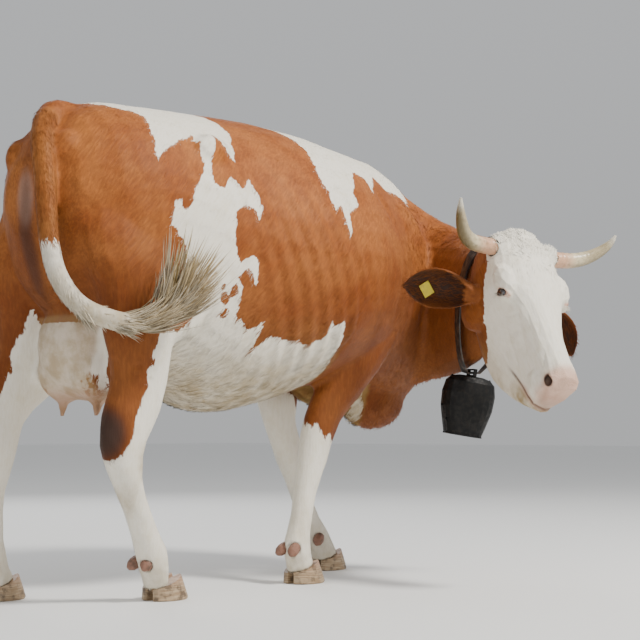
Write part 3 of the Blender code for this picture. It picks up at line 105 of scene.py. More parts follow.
WHITE_LEFT = [
    [(-0.690, 1.66), (-0.650, 1.500), (-0.600, 1.400), (-0.520, 1.365), (-0.470, 1.250), (-0.505, 1.120),
     (-0.440, 1.020), (-0.470, 0.900), (-0.440, 0.800), (-0.530, 0.700), (-0.450, 0.400), (0.160, 0.400),
     (0.150, 0.700), (0.100, 0.815), (0.040, 0.752), (-0.060, 0.790), (-0.110, 0.742), (-0.200, 0.785),
     (-0.245, 0.880), (-0.180, 0.985), (-0.262, 1.050), (-0.222, 1.165), (-0.322, 1.225), (-0.365, 1.345),
     (-0.270, 1.440), (-0.290, 1.66)],
    [(0.010, 1.66), (0.055, 1.470), (0.110, 1.345), (0.150, 1.235), (0.205, 1.105), (0.250, 1.205),
     (0.340, 1.275), (0.420, 1.215), (0.500, 1.315), (0.620, 1.335), (0.740, 1.66)],
]
# Red spots inside the white of the right flank: along, height, radius
RED_SPOTS = [
    (-0.340, 0.858, 0.014), (-0.312, 0.885, 0.013), (-0.330, 0.822, 0.010), (-0.352, 0.892, 0.008),
]

# White of each leg, along and up
WHITE_LEGS = {
    "leg_hind_right": [(-0.590, 0.745), (-0.612, 0.690), (-0.606, 0.660), (-0.625, 0.640), (-0.614, 0.600),
                       (-0.630, 0.575), (-0.650, 0.521), (-0.664, 0.456), (-0.688, 0.412), (-0.730, 0.372),
                       (-0.900, 0.340), (-0.900, -0.200), (-0.200, -0.200), (-0.300, 0.600),
                       (-0.540, 0.760)],
    "leg_hind_left": [(-0.730, 0.830), (-0.745, 0.740), (-0.765, 0.690), (-0.775, 0.640), (-0.805, 0.590),
                      (-0.835, 0.480), (-0.950, 0.440), (-0.950, -0.200), (-0.300, -0.200),
                      (-0.450, 0.760)],
    "leg_front_right": [(0.080, 0.640), (0.140, 0.560), (0.160, 0.540), (0.164, 0.486), (0.178, 0.515),
                        (0.196, 0.440), (0.214, 0.478), (0.232, 0.450), (0.300, 0.430), (0.350, -0.200),
                        (-0.100, -0.200), (-0.050, 0.640)],
    "leg_front_left": [(0.100, 0.640), (0.380, 0.600), (0.400, 0.540), (0.420, 0.585), (0.445, 0.500),
                       (0.600, 0.480), (0.800, -0.200), (0.000, -0.200)],
}

# White of the face, down the face and out from it
WHITE_FACE = [(-0.120, 0.120), (-0.075, -0.080), (-0.010, -0.056), (0.040, -0.055), (0.080, -0.068),
              (0.115, -0.091), (0.155, -0.120), (0.199, -0.160), (0.240, -0.203), (0.278, -0.247),
              (0.292, -0.294), (0.300, -0.450), (0.750, -0.450), (0.750, 0.120)]

# The tail turns from red to cream at this height
TAIL_CREAM_HEIGHT = 0.985

# White round the udder: middle, half sizes and height where it ends
BAG_MIDDLE = (-0.604, 0.300, 0.720)
BAG_SIZE = (0.190, 0.165, 0.200)
BAG_TOP = 0.78

# Dark points of the hocks, painted shade in the cleft under the tail, and the bare skin there: middle and
# half sizes
HOCKS = [(-0.715, 0.105, 0.470), (-0.820, 0.490, 0.480)]
HOCK_SIZE = (0.050, 0.070, 0.075)
CLEFT = ((-0.810, 0.300, 1.020), (0.10, 0.034, 0.20))
UNDER_TAIL = ((-0.845, 0.300, 1.120), (0.08, 0.032, 0.075))

# Eyes, nostrils and mouth in the head's axes, as in the solids
EYE_SLANT = (0.65, -0.21, 0.63)
EYE_OUTWARD = (0.10, 1.00, 0.22)
EYE_OPENING = (0.0195, 0.0115)
# Points farther than this from the middle of an eye count as far off, with this share of its slit's oval
EYE_REACH = 0.042
FAR_OFF = 9.0
NOSTRIL_CENTRE = (0.527, 0.045, -0.064)
NOSTRIL_AIM = (0.80, 0.50, -0.10)
NOSTRIL_SIZE = (0.029, 0.0140)
MOUTH_HEIGHT = -0.168
MOUTH_CENTRE = 0.490
MOUTH_DROP = 0.15

# Dirt on the coat: middle, half sizes and strength
SMUDGES = [
    ((-0.600, 0.080, 0.400), (0.030, 0.060, 0.045), 0.60),
    ((-0.640, 0.100, 0.280), (0.025, 0.060, 0.060), 0.50),
    ((0.120, 0.120, 0.180), (0.030, 0.060, 0.060), 0.30),
]

# Folds of the skin: points, half width and depth of the groove, all in metres
HEAD_FOLDS = [
    ([(0.232, -0.100, -0.012), (0.200, -0.108, -0.022), (0.182, -0.118, -0.050)], 0.004, 0.0022),
    ([(0.258, -0.092, -0.040), (0.248, -0.108, -0.070), (0.220, -0.124, -0.092)], 0.004, 0.0020),
    ([(0.285, -0.080, -0.055), (0.278, -0.092, -0.090), (0.245, -0.112, -0.125)], 0.006, 0.0022),
    ([(0.270, -0.086, -0.050), (0.330, -0.068, -0.085), (0.392, -0.055, -0.105)], 0.009, 0.0030),
    ([(0.300, -0.080, -0.130), (0.345, -0.066, -0.150), (0.400, -0.056, -0.160)], 0.008, 0.0024),
    ([(0.340, -0.064, -0.190), (0.385, -0.056, -0.190), (0.430, -0.052, -0.175)], 0.007, 0.0020),
    ([(0.490, -0.058, -0.095), (0.478, -0.060, -0.060), (0.490, -0.048, -0.036)], 0.005, 0.0016),
    ([(0.110, -0.030, 0.016), (0.165, -0.045, 0.012), (0.215, -0.058, -0.002)], 0.010, 0.0018),
]
BODY_FOLDS = [
    ([(0.020, 0.055, 0.700), (0.085, -0.008, 0.740), (0.120, -0.030, 0.800)], 0.010, 0.0050),
    ([(0.090, 0.060, 0.660), (0.140, 0.010, 0.700), (0.165, -0.015, 0.760)], 0.008, 0.0045),
    ([(0.120, 0.070, 0.630), (0.170, 0.020, 0.665), (0.205, 0.000, 0.720)], 0.007, 0.0035),
    ([(-0.700, 0.050, 0.640), (-0.650, 0.045, 0.655), (-0.600, 0.035, 0.640)], 0.007, 0.0035),
    ([(-0.705, 0.055, 0.615), (-0.655, 0.048, 0.630), (-0.605, 0.040, 0.615)], 0.006, 0.0030),
    ([(-0.640, 0.010, 1.150), (-0.630, 0.006, 1.000), (-0.640, 0.012, 0.850)], 0.030, 0.0050),
    ([(0.380, 0.020, 1.300), (0.430, 0.030, 1.120), (0.520, 0.050, 0.960)], 0.022, 0.0060),
    ([(0.250, -0.030, 1.050), (0.270, -0.030, 0.930), (0.300, -0.010, 0.820)], 0.020, 0.0050),
]
RIB_SPACING = 0.062
RIB_DEPTH = 0.0032
RIB_RANGE = (-0.20, 0.22, 0.70, 1.16)
# Small waves of the skin, and how far it lies under the CAD surface at the soles
WAVE_SCALE = 9.0
WAVE_DEPTH = 0.0016
SOLE_DEPTH = 0.0015

# Colours
RED = (0.300, 0.076, 0.008)
RED_PALE = (0.450, 0.150, 0.030)
# Deep red: between the locks and at the hocks, and painted shade low on the body and in hollows
RED_DEEP = (0.085, 0.018, 0.002)
WHITE = (0.830, 0.780, 0.670)
CREAM = (0.600, 0.500, 0.290)
# Stain: dirt, and painted shade on the belly, udder, chin and jaw
STAIN_AND_SHADE = (0.280, 0.180, 0.048)
PINK = (0.620, 0.370, 0.270)
# Dark skin, and painted shade in hollows
DARK_SKIN_AND_SHADE = (0.045, 0.022, 0.014)
LEATHER = (0.018, 0.013, 0.010)
LEATHER_WORN = (0.070, 0.045, 0.028)
IRON = (0.004, 0.004, 0.004)
IRON_WORN = (0.011, 0.009, 0.007)
TAG = (0.780, 0.620, 0.040)
TAG_WORN = (0.620, 0.460, 0.050)

# Backdrop at the horizon and overhead
HORIZON = (0.800, 0.810, 0.820)
ZENITH = (0.900, 0.915, 0.940)
WORLD_STRENGTH = 0.62
FLOOR = (0.800, 0.800, 0.785)
FLOOR_HALF = 40.0

# Lights: name, place, size, power and colour, and what they look at
LIGHTS = [
    ("key", (1.3, -4.4, 5.6), 1.3, 640.0, (1.0, 0.97, 0.92)),
    ("fill", (-5.5, -2.0, 2.0), 4.0, 60.0, (0.95, 0.97, 1.0)),
    ("rim", (2.5, 5.0, 3.5), 3.0, 110.0, (1.0, 1.0, 1.0)),
]
LIGHTS_TARGET = (0.0, 0.0, 0.8)

SEED = 20
# Slope of the hair on the trunk and legs, in degrees
TRUNK_LIE = -50.0
LEG_LIE = 90.0


# Stage, lights and camera

def add_floor():
    mesh = bpy.data.meshes.new("floor")
    corners = [(x * FLOOR_HALF, y * FLOOR_HALF, 0.0) for x, y in ((-1, -1), (1, -1), (1, 1), (-1, 1))]
    mesh.from_pydata(corners, [], [(0, 1, 2, 3)])
    floor = bpy.data.objects.new("floor", mesh)
    bpy.context.collection.objects.link(floor)
    finish, shader = new_material("floor_finish")
    shader.inputs["Base Color"].default_value = (*FLOOR, 1.0)
    shader.inputs["Roughness"].default_value = 0.9
    mesh.materials.append(finish)


def add_light(name, place, size, power, colour):
    """A square lamp that looks at the middle of the cow."""
    light = bpy.data.lights.new(name, "AREA")
    light.energy = power
    light.size = size
    light.color = colour
    lamp = bpy.data.objects.new(name, light)
    lamp.location = place
    lamp.rotation_euler = (Vector(LIGHTS_TARGET) - Vector(place)).to_track_quat("-Z", "Y").to_euler()
    bpy.context.collection.objects.link(lamp)


def add_lights():
    for name, place, size, power, colour in LIGHTS:
        add_light(name, place, size, power, colour)
    add_world()


def add_world():
    """A pale backdrop that meets the floor softly and brightens upwards."""
    world = bpy.data.worlds.new("studio")
    world.use_nodes = True
    background = world.node_tree.nodes["Background"]
    direction = node(world, "ShaderNodeTexCoord").outputs["Generated"]
    parts = node(world, "ShaderNodeSeparateXYZ")
    link(world, direction, parts.inputs[0])
    share = smooth_step(world, parts.outputs["Z"], -0.02, 0.45)
    link(world, mixed(world, share, HORIZON, ZENITH), background.inputs["Color"])
    background.inputs["Strength"].default_value = WORLD_STRENGTH
    bpy.context.scene.world = world


def add_camera():
    lens = bpy.data.cameras.new("camera")
    lens.lens = CAMERA_LENS
    lens.sensor_width = 36.0
    camera = bpy.data.objects.new("camera", lens)
    camera.location = CAMERA_PLACE
    rise, heading = math.radians(90.0 + CAMERA_RISE), math.radians(CAMERA_HEADING - 90.0)
    camera.rotation_euler = Euler((rise, 0.0, heading))
    bpy.context.collection.objects.link(camera)
    bpy.context.scene.camera = camera


# Materials

def new_material(name):
    finish = bpy.data.materials.new(name)
    finish.use_nodes = True
    return finish, finish.node_tree.nodes["Principled BSDF"]


def link(finish, start, end):
    finish.node_tree.links.new(start, end)


def node(finish, kind, **values):
    made = finish.node_tree.nodes.new(kind)
    for name, value in values.items():
        if hasattr(made, name):
            setattr(made, name, value)
        else:
            made.inputs[name.replace("_", " ")].default_value = value
    return made


def maths(finish, operation, first, second=0.0, third=None):
    """One Math node whose inputs are sockets or numbers."""
    made = node(finish, "ShaderNodeMath", operation=operation)
    for index, value in enumerate((first, second, third)):
        if value is None:
            continue
        if isinstance(value, (int, float)):
            made.inputs[index].default_value = value
        else:
            link(finish, value, made.inputs[index])
    return made.outputs[0]


def mixed(finish, share, first, second):
    """One colour mix whose inputs are sockets or colours."""
    made = node(finish, "ShaderNodeMix", data_type="RGBA")
    for index, value in ((0, share), (6, first), (7, second)):
        if isinstance(value, (int, float)):
            made.inputs[index].default_value = value
        elif isinstance(value, tuple):
            made.inputs[index].default_value = (*value, 1.0)
        else:
            link(finish, value, made.inputs[index])
    return made.outputs[2]


def smooth_step(finish, value, low, high, to_low=0.0, to_high=1.0):
    made = node(finish, "ShaderNodeMapRange", interpolation_type="SMOOTHSTEP")
    for index, number in ((1, low), (2, high), (3, to_low), (4, to_high)):
        made.inputs[index].default_value = number
    link(finish, value, made.inputs[0])
    return made.outputs[0]


def noise_at(finish, vector, scale, detail=3.0, roughness=0.55):
    made = node(finish, "ShaderNodeTexNoise", Scale=scale, Detail=detail, Roughness=roughness)
    link(finish, vector, made.inputs["Vector"])
    return made.outputs["Fac"]


def add_bump(finish, shader, height, strength, distance):
    bump = node(finish, "ShaderNodeBump", Strength=strength, Distance=distance)
    link(finish, height, bump.inputs["Height"])
    link(finish, bump.outputs[0], shader.inputs["Normal"])


def attribute(finish, name):
    return node(finish, "ShaderNodeAttribute", attribute_name=name)


def lie_space(finish, vector, turn, stretch, place=(0.0, 0.0, 0.0)):
    """Coordinates squashed along the hair, so that a noise there is drawn out along it."""
    made = node(finish, "ShaderNodeMapping", vector_type="TEXTURE")
    made.inputs["Location"].default_value = place
    made.inputs["Rotation"].default_value = turn
    made.inputs["Scale"].default_value = (stretch, 1.0, 1.0)
    link(finish, vector, made.inputs["Vector"])
    return made.outputs[0]


def hair_noise(finish, origin, scale, stretch, detail=3.0):
    """A noise drawn out along the coat's lie on the trunk, legs and head, mixed by the mesh's weights."""
    spaces = [
        lie_space(finish, origin, (0.0, math.radians(TRUNK_LIE), 0.0), stretch),
        lie_space(finish, origin, (0.0, math.radians(LEG_LIE), 0.0), stretch),
        lie_space(finish, origin, head_axes().to_euler(), stretch, POLL),
    ]
    blend, *others = [noise_at(finish, space, scale, detail) for space in spaces]
    parts = node(finish, "ShaderNodeSeparateXYZ")
    link(finish, attribute(finish, "region").outputs["Vector"], parts.inputs[0])
    for weight, other in zip(parts.outputs, others):
        made = node(finish, "ShaderNodeMix")
        for index, socket in ((0, weight), (2, blend), (3, other)):
            link(finish, socket, made.inputs[index])
        blend = made.outputs[0]
    return blend


def red_hair(finish, origin, streak, mottled):
    """Red that is paler in patches and deeper between the locks, with painted shade that deepens it
    towards the bottom of the body.
    """
    broad = noise_at(finish, origin, 5.0, 3.0)
    place = node(finish, "ShaderNodeSeparateXYZ")
    link(finish, origin, place.inputs[0])
    red = mixed(finish, smooth_step(finish, broad, 0.35, 0.70), RED, RED_PALE)
    red = mixed(finish, smooth_step(finish, streak, 0.35, 0.75, 0.40, 0.0), red, RED_DEEP)
    red = mixed(finish, smooth_step(finish, mottled, 0.40, 0.75, 0.0, 0.35), red, RED_PALE)
    # Painted shade: the red deepens towards RED_DEEP lower down the body
    return mixed(finish, smooth_step(finish, place.outputs["Z"], 0.72, 1.25, 0.50, 0.0), red, RED_DEEP)


def white_hair(finish, streak, mottled):
    """White with cream in patches and between the locks."""
    white = mixed(finish, smooth_step(finish, mottled, 0.50, 0.80, 0.0, 0.25), WHITE, CREAM)
    return mixed(finish, smooth_step(finish, streak, 0.30, 0.60, 0.18, 0.0), white, CREAM)


def tuft_shade(finish, colour):
    """Some tufts lighter and some darker than the coat's own colour."""
    shade = node(finish, "ShaderNodeHueSaturation")
    tuft = attribute(finish, "tuft").outputs["Fac"]
    link(finish, maths(finish, "MULTIPLY_ADD", tuft, 0.60, 0.70), shade.inputs["Value"])
    link(finish, colour, shade.inputs["Color"])
    return shade.outputs[0]


def skin_colour(finish, mottled, dark, stained_and_shaded):
    """Pink skin with redder patches, darkened and stained where the coat is: dark skin and dirt, and
    painted shade in hollows and on the underside.
    """
    skin = mixed(finish, smooth_step(finish, mottled, 0.40, 0.75, 0.0, 0.30), PINK, RED)
    skin = mixed(finish, maths(finish, "MULTIPLY", dark, 0.9), skin, DARK_SKIN_AND_SHADE)
    return mixed(finish, maths(finish, "MULTIPLY", stained_and_shaded, 0.6), skin, STAIN_AND_SHADE)


def coat_material(name, tufted):
    """Red and white hair over skin. The tufts read the same markings at their roots."""
    finish, shader = new_material(name)
    origin = attribute(finish, "origin").outputs["Vector"]
    mark = attribute(finish, "mark").outputs["Fac"]
    tint = node(finish, "ShaderNodeSeparateXYZ")
    link(finish, attribute(finish, "tint").outputs["Vector"], tint.inputs[0])
    bare, dark, stain_and_shade = tint.outputs
    streak = hair_noise(finish, origin, 150.0, 5.0)
    ragged = hair_noise(finish, origin, 42.0, 3.2, 4.0)
    mottled = noise_at(finish, origin, 22.0, 4.0)

    edge = maths(finish, "MULTIPLY_ADD", maths(finish, "SUBTRACT", ragged, 0.5), 0.030, mark)
    edge = maths(finish, "MULTIPLY_ADD", maths(finish, "SUBTRACT", streak, 0.5), 0.016, edge)
    white_share = smooth_step(finish, edge, -0.0018, 0.0018)
    red = red_hair(finish, origin, streak, mottled)
    colour = mixed(finish, white_share, red, white_hair(finish, streak, mottled))
    # The dark channel holds the hocks' and teats' own colour and painted shade in the ear cups, nostrils,
    # mouth, lids and cleft
    colour = mixed(finish, dark, colour, RED_DEEP)
    colour = mixed(finish, maths(finish, "POWER", dark, 3.0), colour, DARK_SKIN_AND_SHADE)
    # The stain channel holds dirt, and painted shade on the belly, udder, chin and jaw
    stained_and_shaded = maths(finish, "MULTIPLY", stain_and_shade, smooth_step(finish, mottled, 0.30, 0.65, 0.45, 1.0))
    colour = mixed(finish, stained_and_shaded, colour, STAIN_AND_SHADE)
    if tufted:
        colour = tuft_shade(finish, colour)
    else:
        pebbles = node(finish, "ShaderNodeTexVoronoi", Scale=230.0)
        link(finish, origin, pebbles.inputs["Vector"])
        colour = mixed(finish, bare, colour, skin_colour(finish, mottled, dark, stained_and_shaded))
        relief = maths(finish, "MULTIPLY", pebbles.outputs["Distance"], bare)
        height = maths(finish, "MULTIPLY_ADD", streak, maths(finish, "SUBTRACT", 1.0, bare), relief)
        height = maths(finish, "MULTIPLY_ADD", ragged, 0.6, height)
        add_bump(finish, shader, height, 0.55, 0.0025)
    link(finish, colour, shader.inputs["Base Color"])
    shader.inputs["Roughness"].default_value = 0.62
    shader.inputs["Specular IOR Level"].default_value = 0.22
    shader.inputs["Sheen Weight"].default_value = 0.04
    shader.inputs["Sheen Roughness"].default_value = 0.5
    return finish


# Mesh helpers

def head_axes():
    """The head's axes as a 3x3 matrix, one axis a column."""
    forward = FACE.normalized()
    out = (FOREHEAD - forward * FOREHEAD.dot(forward)).normalized()
    left = out.cross(forward)
    return Matrix((forward, left, out)).transposed()


def in_head(points):
    """Points in the head's own axes."""
    return (points - np.array(POLL)) @ np.array(head_axes())


def from_head(points):
    return np.array(points) @ np.array(head_axes()).T + np.array(POLL)


def read(items, key, width, kind=np.int32):
    """One property of many mesh elements, a row for each."""
    flat = np.empty(len(items) * width, dtype=kind)
    items.foreach_get(key, flat)
    return flat.reshape(-1, width)


def coordinates(mesh):
    return read(mesh.vertices, "co", 3, np.float32).astype(np.float64)


def set_coordinates(mesh, points):
    mesh.vertices.foreach_set("co", points.astype(np.float32).ravel())
    mesh.update()


def vertex_normals(mesh):
    return read(mesh.vertex_normals, "vector", 3, np.float32).astype(np.float64)


def triangle_corners(mesh):
    mesh.calc_loop_triangles()
    return read(mesh.loop_triangles, "vertices", 3)


def edge_pairs(mesh):
    return read(mesh.edges, "vertices", 2)


def add_object(name, mesh):
    made = bpy.data.objects.new(name, mesh)
    bpy.context.collection.objects.link(made)
    return made


def applied(made):
    """The object with its modifiers applied."""
    graph = bpy.context.evaluated_depsgraph_get()
    mesh = bpy.data.meshes.new_from_object(made.evaluated_get(graph))
    old = made.data
    made.modifiers.clear()
    made.data = mesh
    bpy.data.meshes.remove(old)
    return made


def grown_copy(name, reach):
    """A node's mesh with its vertices merged and pushed out."""
    work = bmesh.new()
    work.from_mesh(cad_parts[name].data)
    bmesh.ops.remove_doubles(work, verts=work.verts, dist=0.00002)
    bmesh.ops.recalc_face_normals(work, faces=work.faces)
    work.normal_update()
    moves = [vertex.co + vertex.normal * reach for vertex in work.verts]
    for vertex, place in zip(work.verts, moves):
        vertex.co = place
    return work


def fused(name, nodes, voxel):
    """One closed surface round several nodes, which overlap a little once they are grown."""
    soup = bmesh.new()
    for each in nodes:
        part = grown_copy(each, OVERLAP)
        scratch = bpy.data.meshes.new("scratch")
        part.to_mesh(scratch)
        part.free()
        soup.from_mesh(scratch)
        bpy.data.meshes.remove(scratch)
    mesh = bpy.data.meshes.new(name)
    soup.to_mesh(mesh)
    soup.free()
    made = add_object(name, mesh)
    remesh = made.modifiers.new("remesh", "REMESH")
    remesh.mode = "VOXEL"
    remesh.voxel_size = voxel
    return keep_largest(applied(made))


def islands(count, pairs):
    """A label for every vertex, alike on all that hang together."""
    labels = np.arange(count)
    while True:
        least = np.minimum(labels[pairs[:, 0]], labels[pairs[:, 1]])
        fresh = labels.copy()
        np.minimum.at(fresh, pairs[:, 0], least)
        np.minimum.at(fresh, pairs[:, 1], least)
        fresh = fresh[fresh]
        if (fresh == labels).all():
            return labels
        labels = fresh


def keep_largest(made):
    mesh = made.data
    labels = islands(len(mesh.vertices), edge_pairs(mesh))
    largest = np.bincount(labels).argmax()
    if (labels == largest).all():
        return made
    work = bmesh.new()
    work.from_mesh(mesh)
    work.verts.ensure_lookup_table()
    drop = [work.verts[index] for index in np.nonzero(labels != largest)[0]]
    bmesh.ops.delete(work, geom=drop, context="VERTS")
    work.to_mesh(mesh)
    work.free()
    return made


def relaxed(points, pairs, share, rounds):
    """Smoothing that takes out small facets and keeps the bulk: a pull in and then a push out."""
    count = np.bincount(pairs.ravel(), minlength=len(points))[:, None]
    first, second = pairs.T
    for _ in range(rounds):
        for pull in (0.50, -0.515):
            total = np.empty_like(points)
            for axis in range(3):
                total[:, axis] = np.bincount(first, points[second, axis], len(points))
                total[:, axis] += np.bincount(second, points[first, axis], len(points))
            points = points + pull * share[:, None] * (total / count - points)
    return points


def spread(values, pairs, rounds):
    """Values on vertices, evened out over their neighbours."""
    count = np.bincount(pairs.ravel(), minlength=len(values)).astype(float)
    first, second = pairs.T
    for _ in range(rounds):
        columns = []
        for column in values.T:
            total = np.bincount(first, column[second], len(values))
            total = total + np.bincount(second, column[first], len(values))
            columns.append(0.4 * column + 0.6 * total / count)
        values = np.stack(columns, axis=1)
    return values


def nearest_nodes(points):
    """For every point, the index in FLESH of the node whose surface is nearest."""
    samples, owners = [], []
    for number, name in enumerate(FLESH):
        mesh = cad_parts[name].data
        corners = coordinates(mesh)
        a, b, c = (corners[index] for index in triangle_corners(mesh).T)
        inner = [(a + b + c) / 3, (4 * a + b + c) / 6, (a + 4 * b + c) / 6, (a + b + 4 * c) / 6]
        places = np.concatenate([corners] + inner)
        samples.append(places)
        owners.append(np.full(len(places), number))
    samples, owners = np.concatenate(samples), np.concatenate(owners)
    tree = KDTree(len(samples))
    for index, place in enumerate(samples):
        tree.insert(place, index)
    tree.balance()
    return owners[[tree.find(place)[1] for place in points]]


def is_node(owner, *names):
    """Which points belong to the named nodes."""
    return np.isin(owner, [FLESH.index(name) for name in names])


def polyline_distance(points, line):
    """Distance from each point to a polyline."""
    best = np.full(len(points), np.inf)
    line = np.array(line, dtype=float)
    for start, end in zip(line[:-1], line[1:]):
        way = end - start
        share = np.clip((points - start) @ way / (way @ way), 0.0, 1.0)
        best = np.minimum(best, np.linalg.norm(points - start - share[:, None] * way, axis=1))
    return best


def outline_depth(points, outline):
    """Distance from the outline of a flat shape, positive inside it."""
    closed = np.array(outline + outline[:1], dtype=float)
    inside = np.zeros(len(points), dtype=bool)
    for (x0, y0), (x1, y1) in zip(closed[:-1], closed[1:]):
        crosses = (y0 > points[:, 1]) != (y1 > points[:, 1])
        if y0 != y1:
            inside ^= crosses & (points[:, 0] < (x1 - x0) * (points[:, 1] - y0) / (y1 - y0) + x0)
    return np.where(inside, 1.0, -1.0) * polyline_distance(points, closed)


# Markings

def markings(points, owner):
    """Depth inside the white of the coat, negative in the red, for points of known nodes."""
    side = points[:, 1] - TRUNK_MIDDLE
    over = points[:, 2] + np.maximum(0.0, BACK_REACH - np.abs(side))
    flat = np.stack([points[:, 0], over], axis=1)
    depth = np.full(len(points), -1.0)
    for right, outlines in ((True, WHITE_RIGHT), (False, WHITE_LEFT)):
        chosen = (side < 0.0) == right
        for outline in outlines:
            depth[chosen] = np.maximum(depth[chosen], outline_depth(flat[chosen], outline))
    right = side < 0.0
    for along, up, radius in RED_SPOTS:
        spot = np.hypot(flat[:, 0] - along, (flat[:, 1] - up) * 0.7) - radius
        depth = np.where(right, np.minimum(depth, spot), depth)
    for name, outline in WHITE_LEGS.items():
        chosen = is_node(owner, name)
        depth[chosen] = np.maximum(depth[chosen], outline_depth(points[chosen][:, (0, 2)], outline))
    bag = np.linalg.norm((points - np.array(BAG_MIDDLE)) / np.array(BAG_SIZE), axis=1)
    depth = np.where(points[:, 2] < BAG_TOP, np.maximum(depth, (1.0 - bag) * 0.10), depth)
    head = is_node(owner, "head")
    local = in_head(points)
    depth[head] = outline_depth(local[head][:, (0, 2)], WHITE_FACE)
    neck = is_node(owner, "neck")
    depth[neck] = np.where(points[neck, 2] > 1.1, depth[neck], -1.0)
    tail = is_node(owner, *TAIL)
    depth[tail] = (TAIL_CREAM_HEIGHT - points[tail, 2]) * 0.5
    depth[is_node(owner, "ear_right", "ear_left")] = -1.0
    return np.clip(depth, -0.06, 0.06)


def fade(distance, radius, softness):
    """1 inside a radius and 0 past it."""
    return 1.0 / (1.0 + np.exp(np.clip((distance - radius) / softness, -40.0, 40.0)))


def near(points, centre, size, softness):
    """1 inside an ellipsoid given by its middle and half sizes, and 0 past it."""
    reach = np.linalg.norm((points - np.array(centre)) / np.array(size), axis=1)
    return fade(reach, 1.0, softness)


def mouth_reach(local):
    """Height over the line of the mouth, in the head's axes."""
    along, across = local[:, 0] - MOUTH_CENTRE, local[:, 1]
    reach = np.hypot(along, across)
    return local[:, 2] - (MOUTH_HEIGHT + MOUTH_DROP * (along - reach))


def eye_axes(side):
    """An eye's axes, one a column: X along its slit, Z out of the head; side is -1 on the right."""
    head = head_axes()
    slit = head @ Vector((EYE_SLANT[0], EYE_SLANT[1] * side, EYE_SLANT[2]))
    out = head @ Vector((EYE_OUTWARD[0], EYE_OUTWARD[1] * side, EYE_OUTWARD[2]))
    slit.normalize()
    across = out.cross(slit).normalized()
    return np.array(Matrix((slit, across, slit.cross(across))).transposed())


def box_middle(name):
    low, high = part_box(name)
    return (np.array(low) + np.array(high)) / 2.0


def near_eye(points, side):
    """Each point in an eye's axes, and its distance as a share of the oval of the slit."""
    local = (points - box_middle("eye_right" if side < 0 else "eye_left")) @ eye_axes(side)
    ratio = np.hypot(local[:, 0] / EYE_OPENING[0], local[:, 1] / EYE_OPENING[1])
    close = (local[:, 2] > 0.0) & (np.linalg.norm(local, axis=1) < EYE_REACH)
    return local, np.where(close, ratio, FAR_OFF)


def nostril_ratio(local):
    """Distance from the middle of a nostril in the head's axes, as a share of its hollow."""
    mirrored = local.copy()
    mirrored[:, 1] = np.abs(local[:, 1])
    aim = np.array(NOSTRIL_AIM) / np.linalg.norm(NOSTRIL_AIM)
    offset = mirrored - np.array(NOSTRIL_CENTRE)
    along = offset @ aim
    rest = np.linalg.norm(offset - along[:, None] * aim, axis=1)
    return np.hypot(along / NOSTRIL_SIZE[0], rest / NOSTRIL_SIZE[1])


def bare_skin(points, owner):
    """Where skin shows: muzzle, lips, rims of the eyes, udder and under the tail."""
    local = in_head(points)
    head = is_node(owner, "head")
    nose = fade(-(local[:, 0] + local[:, 2] * 0.28), -0.498, 0.007) * fade(-mouth_reach(local), 0.0, 0.004)
    lips = fade(np.abs(mouth_reach(local)), 0.013, 0.003) * fade(-local[:, 0], -0.465, 0.010)
    bare = np.where(head, np.maximum(nose * 0.85, lips * 0.7), 0.0)
    for side in (-1, 1):
        place, ratio = near_eye(points, side)
        corner = np.linalg.norm(place[:, :2] - np.array((0.021, -0.004)), axis=1)
        rim = np.maximum(fade(ratio, 1.22, 0.06), fade(corner, 0.0065, 0.0012) * (ratio < FAR_OFF))
        bare = np.maximum(bare, np.where(head, rim, 0.0))
    bag = 0.22 + 0.70 * fade(points[:, 2], 0.585, 0.010)
    bare = np.where(is_node(owner, "udder"), bag, bare)
    return np.maximum(bare, near(points, *UNDER_TAIL, 0.10) * 0.6)


def dark_places(points, owner, hollow, mark):
    """Where coat or skin is dark: the hocks and teats in their own colour, and painted shade in the ear
    cups, nostrils, mouth line, under the muzzle, along the lids and in the cleft under the tail.
    """
    dark = np.zeros(len(points))
    for hock in HOCKS:
        dark = np.maximum(dark, near(points, hock, HOCK_SIZE, 0.14))
    dark = np.where(mark < 0.0, dark, dark * 0.1)
    # Painted shade in the cleft under the tail
    dark = np.maximum(dark, near(points, *CLEFT, 0.14) * 0.75)
    teats = is_node(owner, "udder") & (points[:, 2] < 0.60)
    dark = np.where(teats, 0.35 * fade(points[:, 2], 0.580, 0.010), dark)
    ears = is_node(owner, "ear_right", "ear_left")
    # Painted shade in the hollow of each ear's cup
    dark = np.where(ears, np.maximum(dark, hollow * 0.97), dark)
    local = in_head(points)
    head = is_node(owner, "head")
    # Painted shade in the nostrils, along the groove of the mouth and under the muzzle
    inside = fade(nostril_ratio(local), 1.10, 0.05)
    slit = fade(np.abs(mouth_reach(local)), 0.0042, 0.0010) * fade(-local[:, 0], -0.395, 0.010)
    painted_shade_under_muzzle = fade(-local[:, 0], -0.548, 0.005) * fade(local[:, 2], -0.118, 0.012) * 0.45
    face = np.maximum(np.maximum(inside, slit * 0.90), painted_shade_under_muzzle)
    for side in (-1, 1):
        _, ratio = near_eye(points, side)
        # Painted shade along the edges of the lids round each eye's slit
        face = np.maximum(face, np.exp(-(((ratio - 1.02) / 0.07) ** 2)) * 0.80)
    return np.where(head, np.maximum(dark, face), dark)


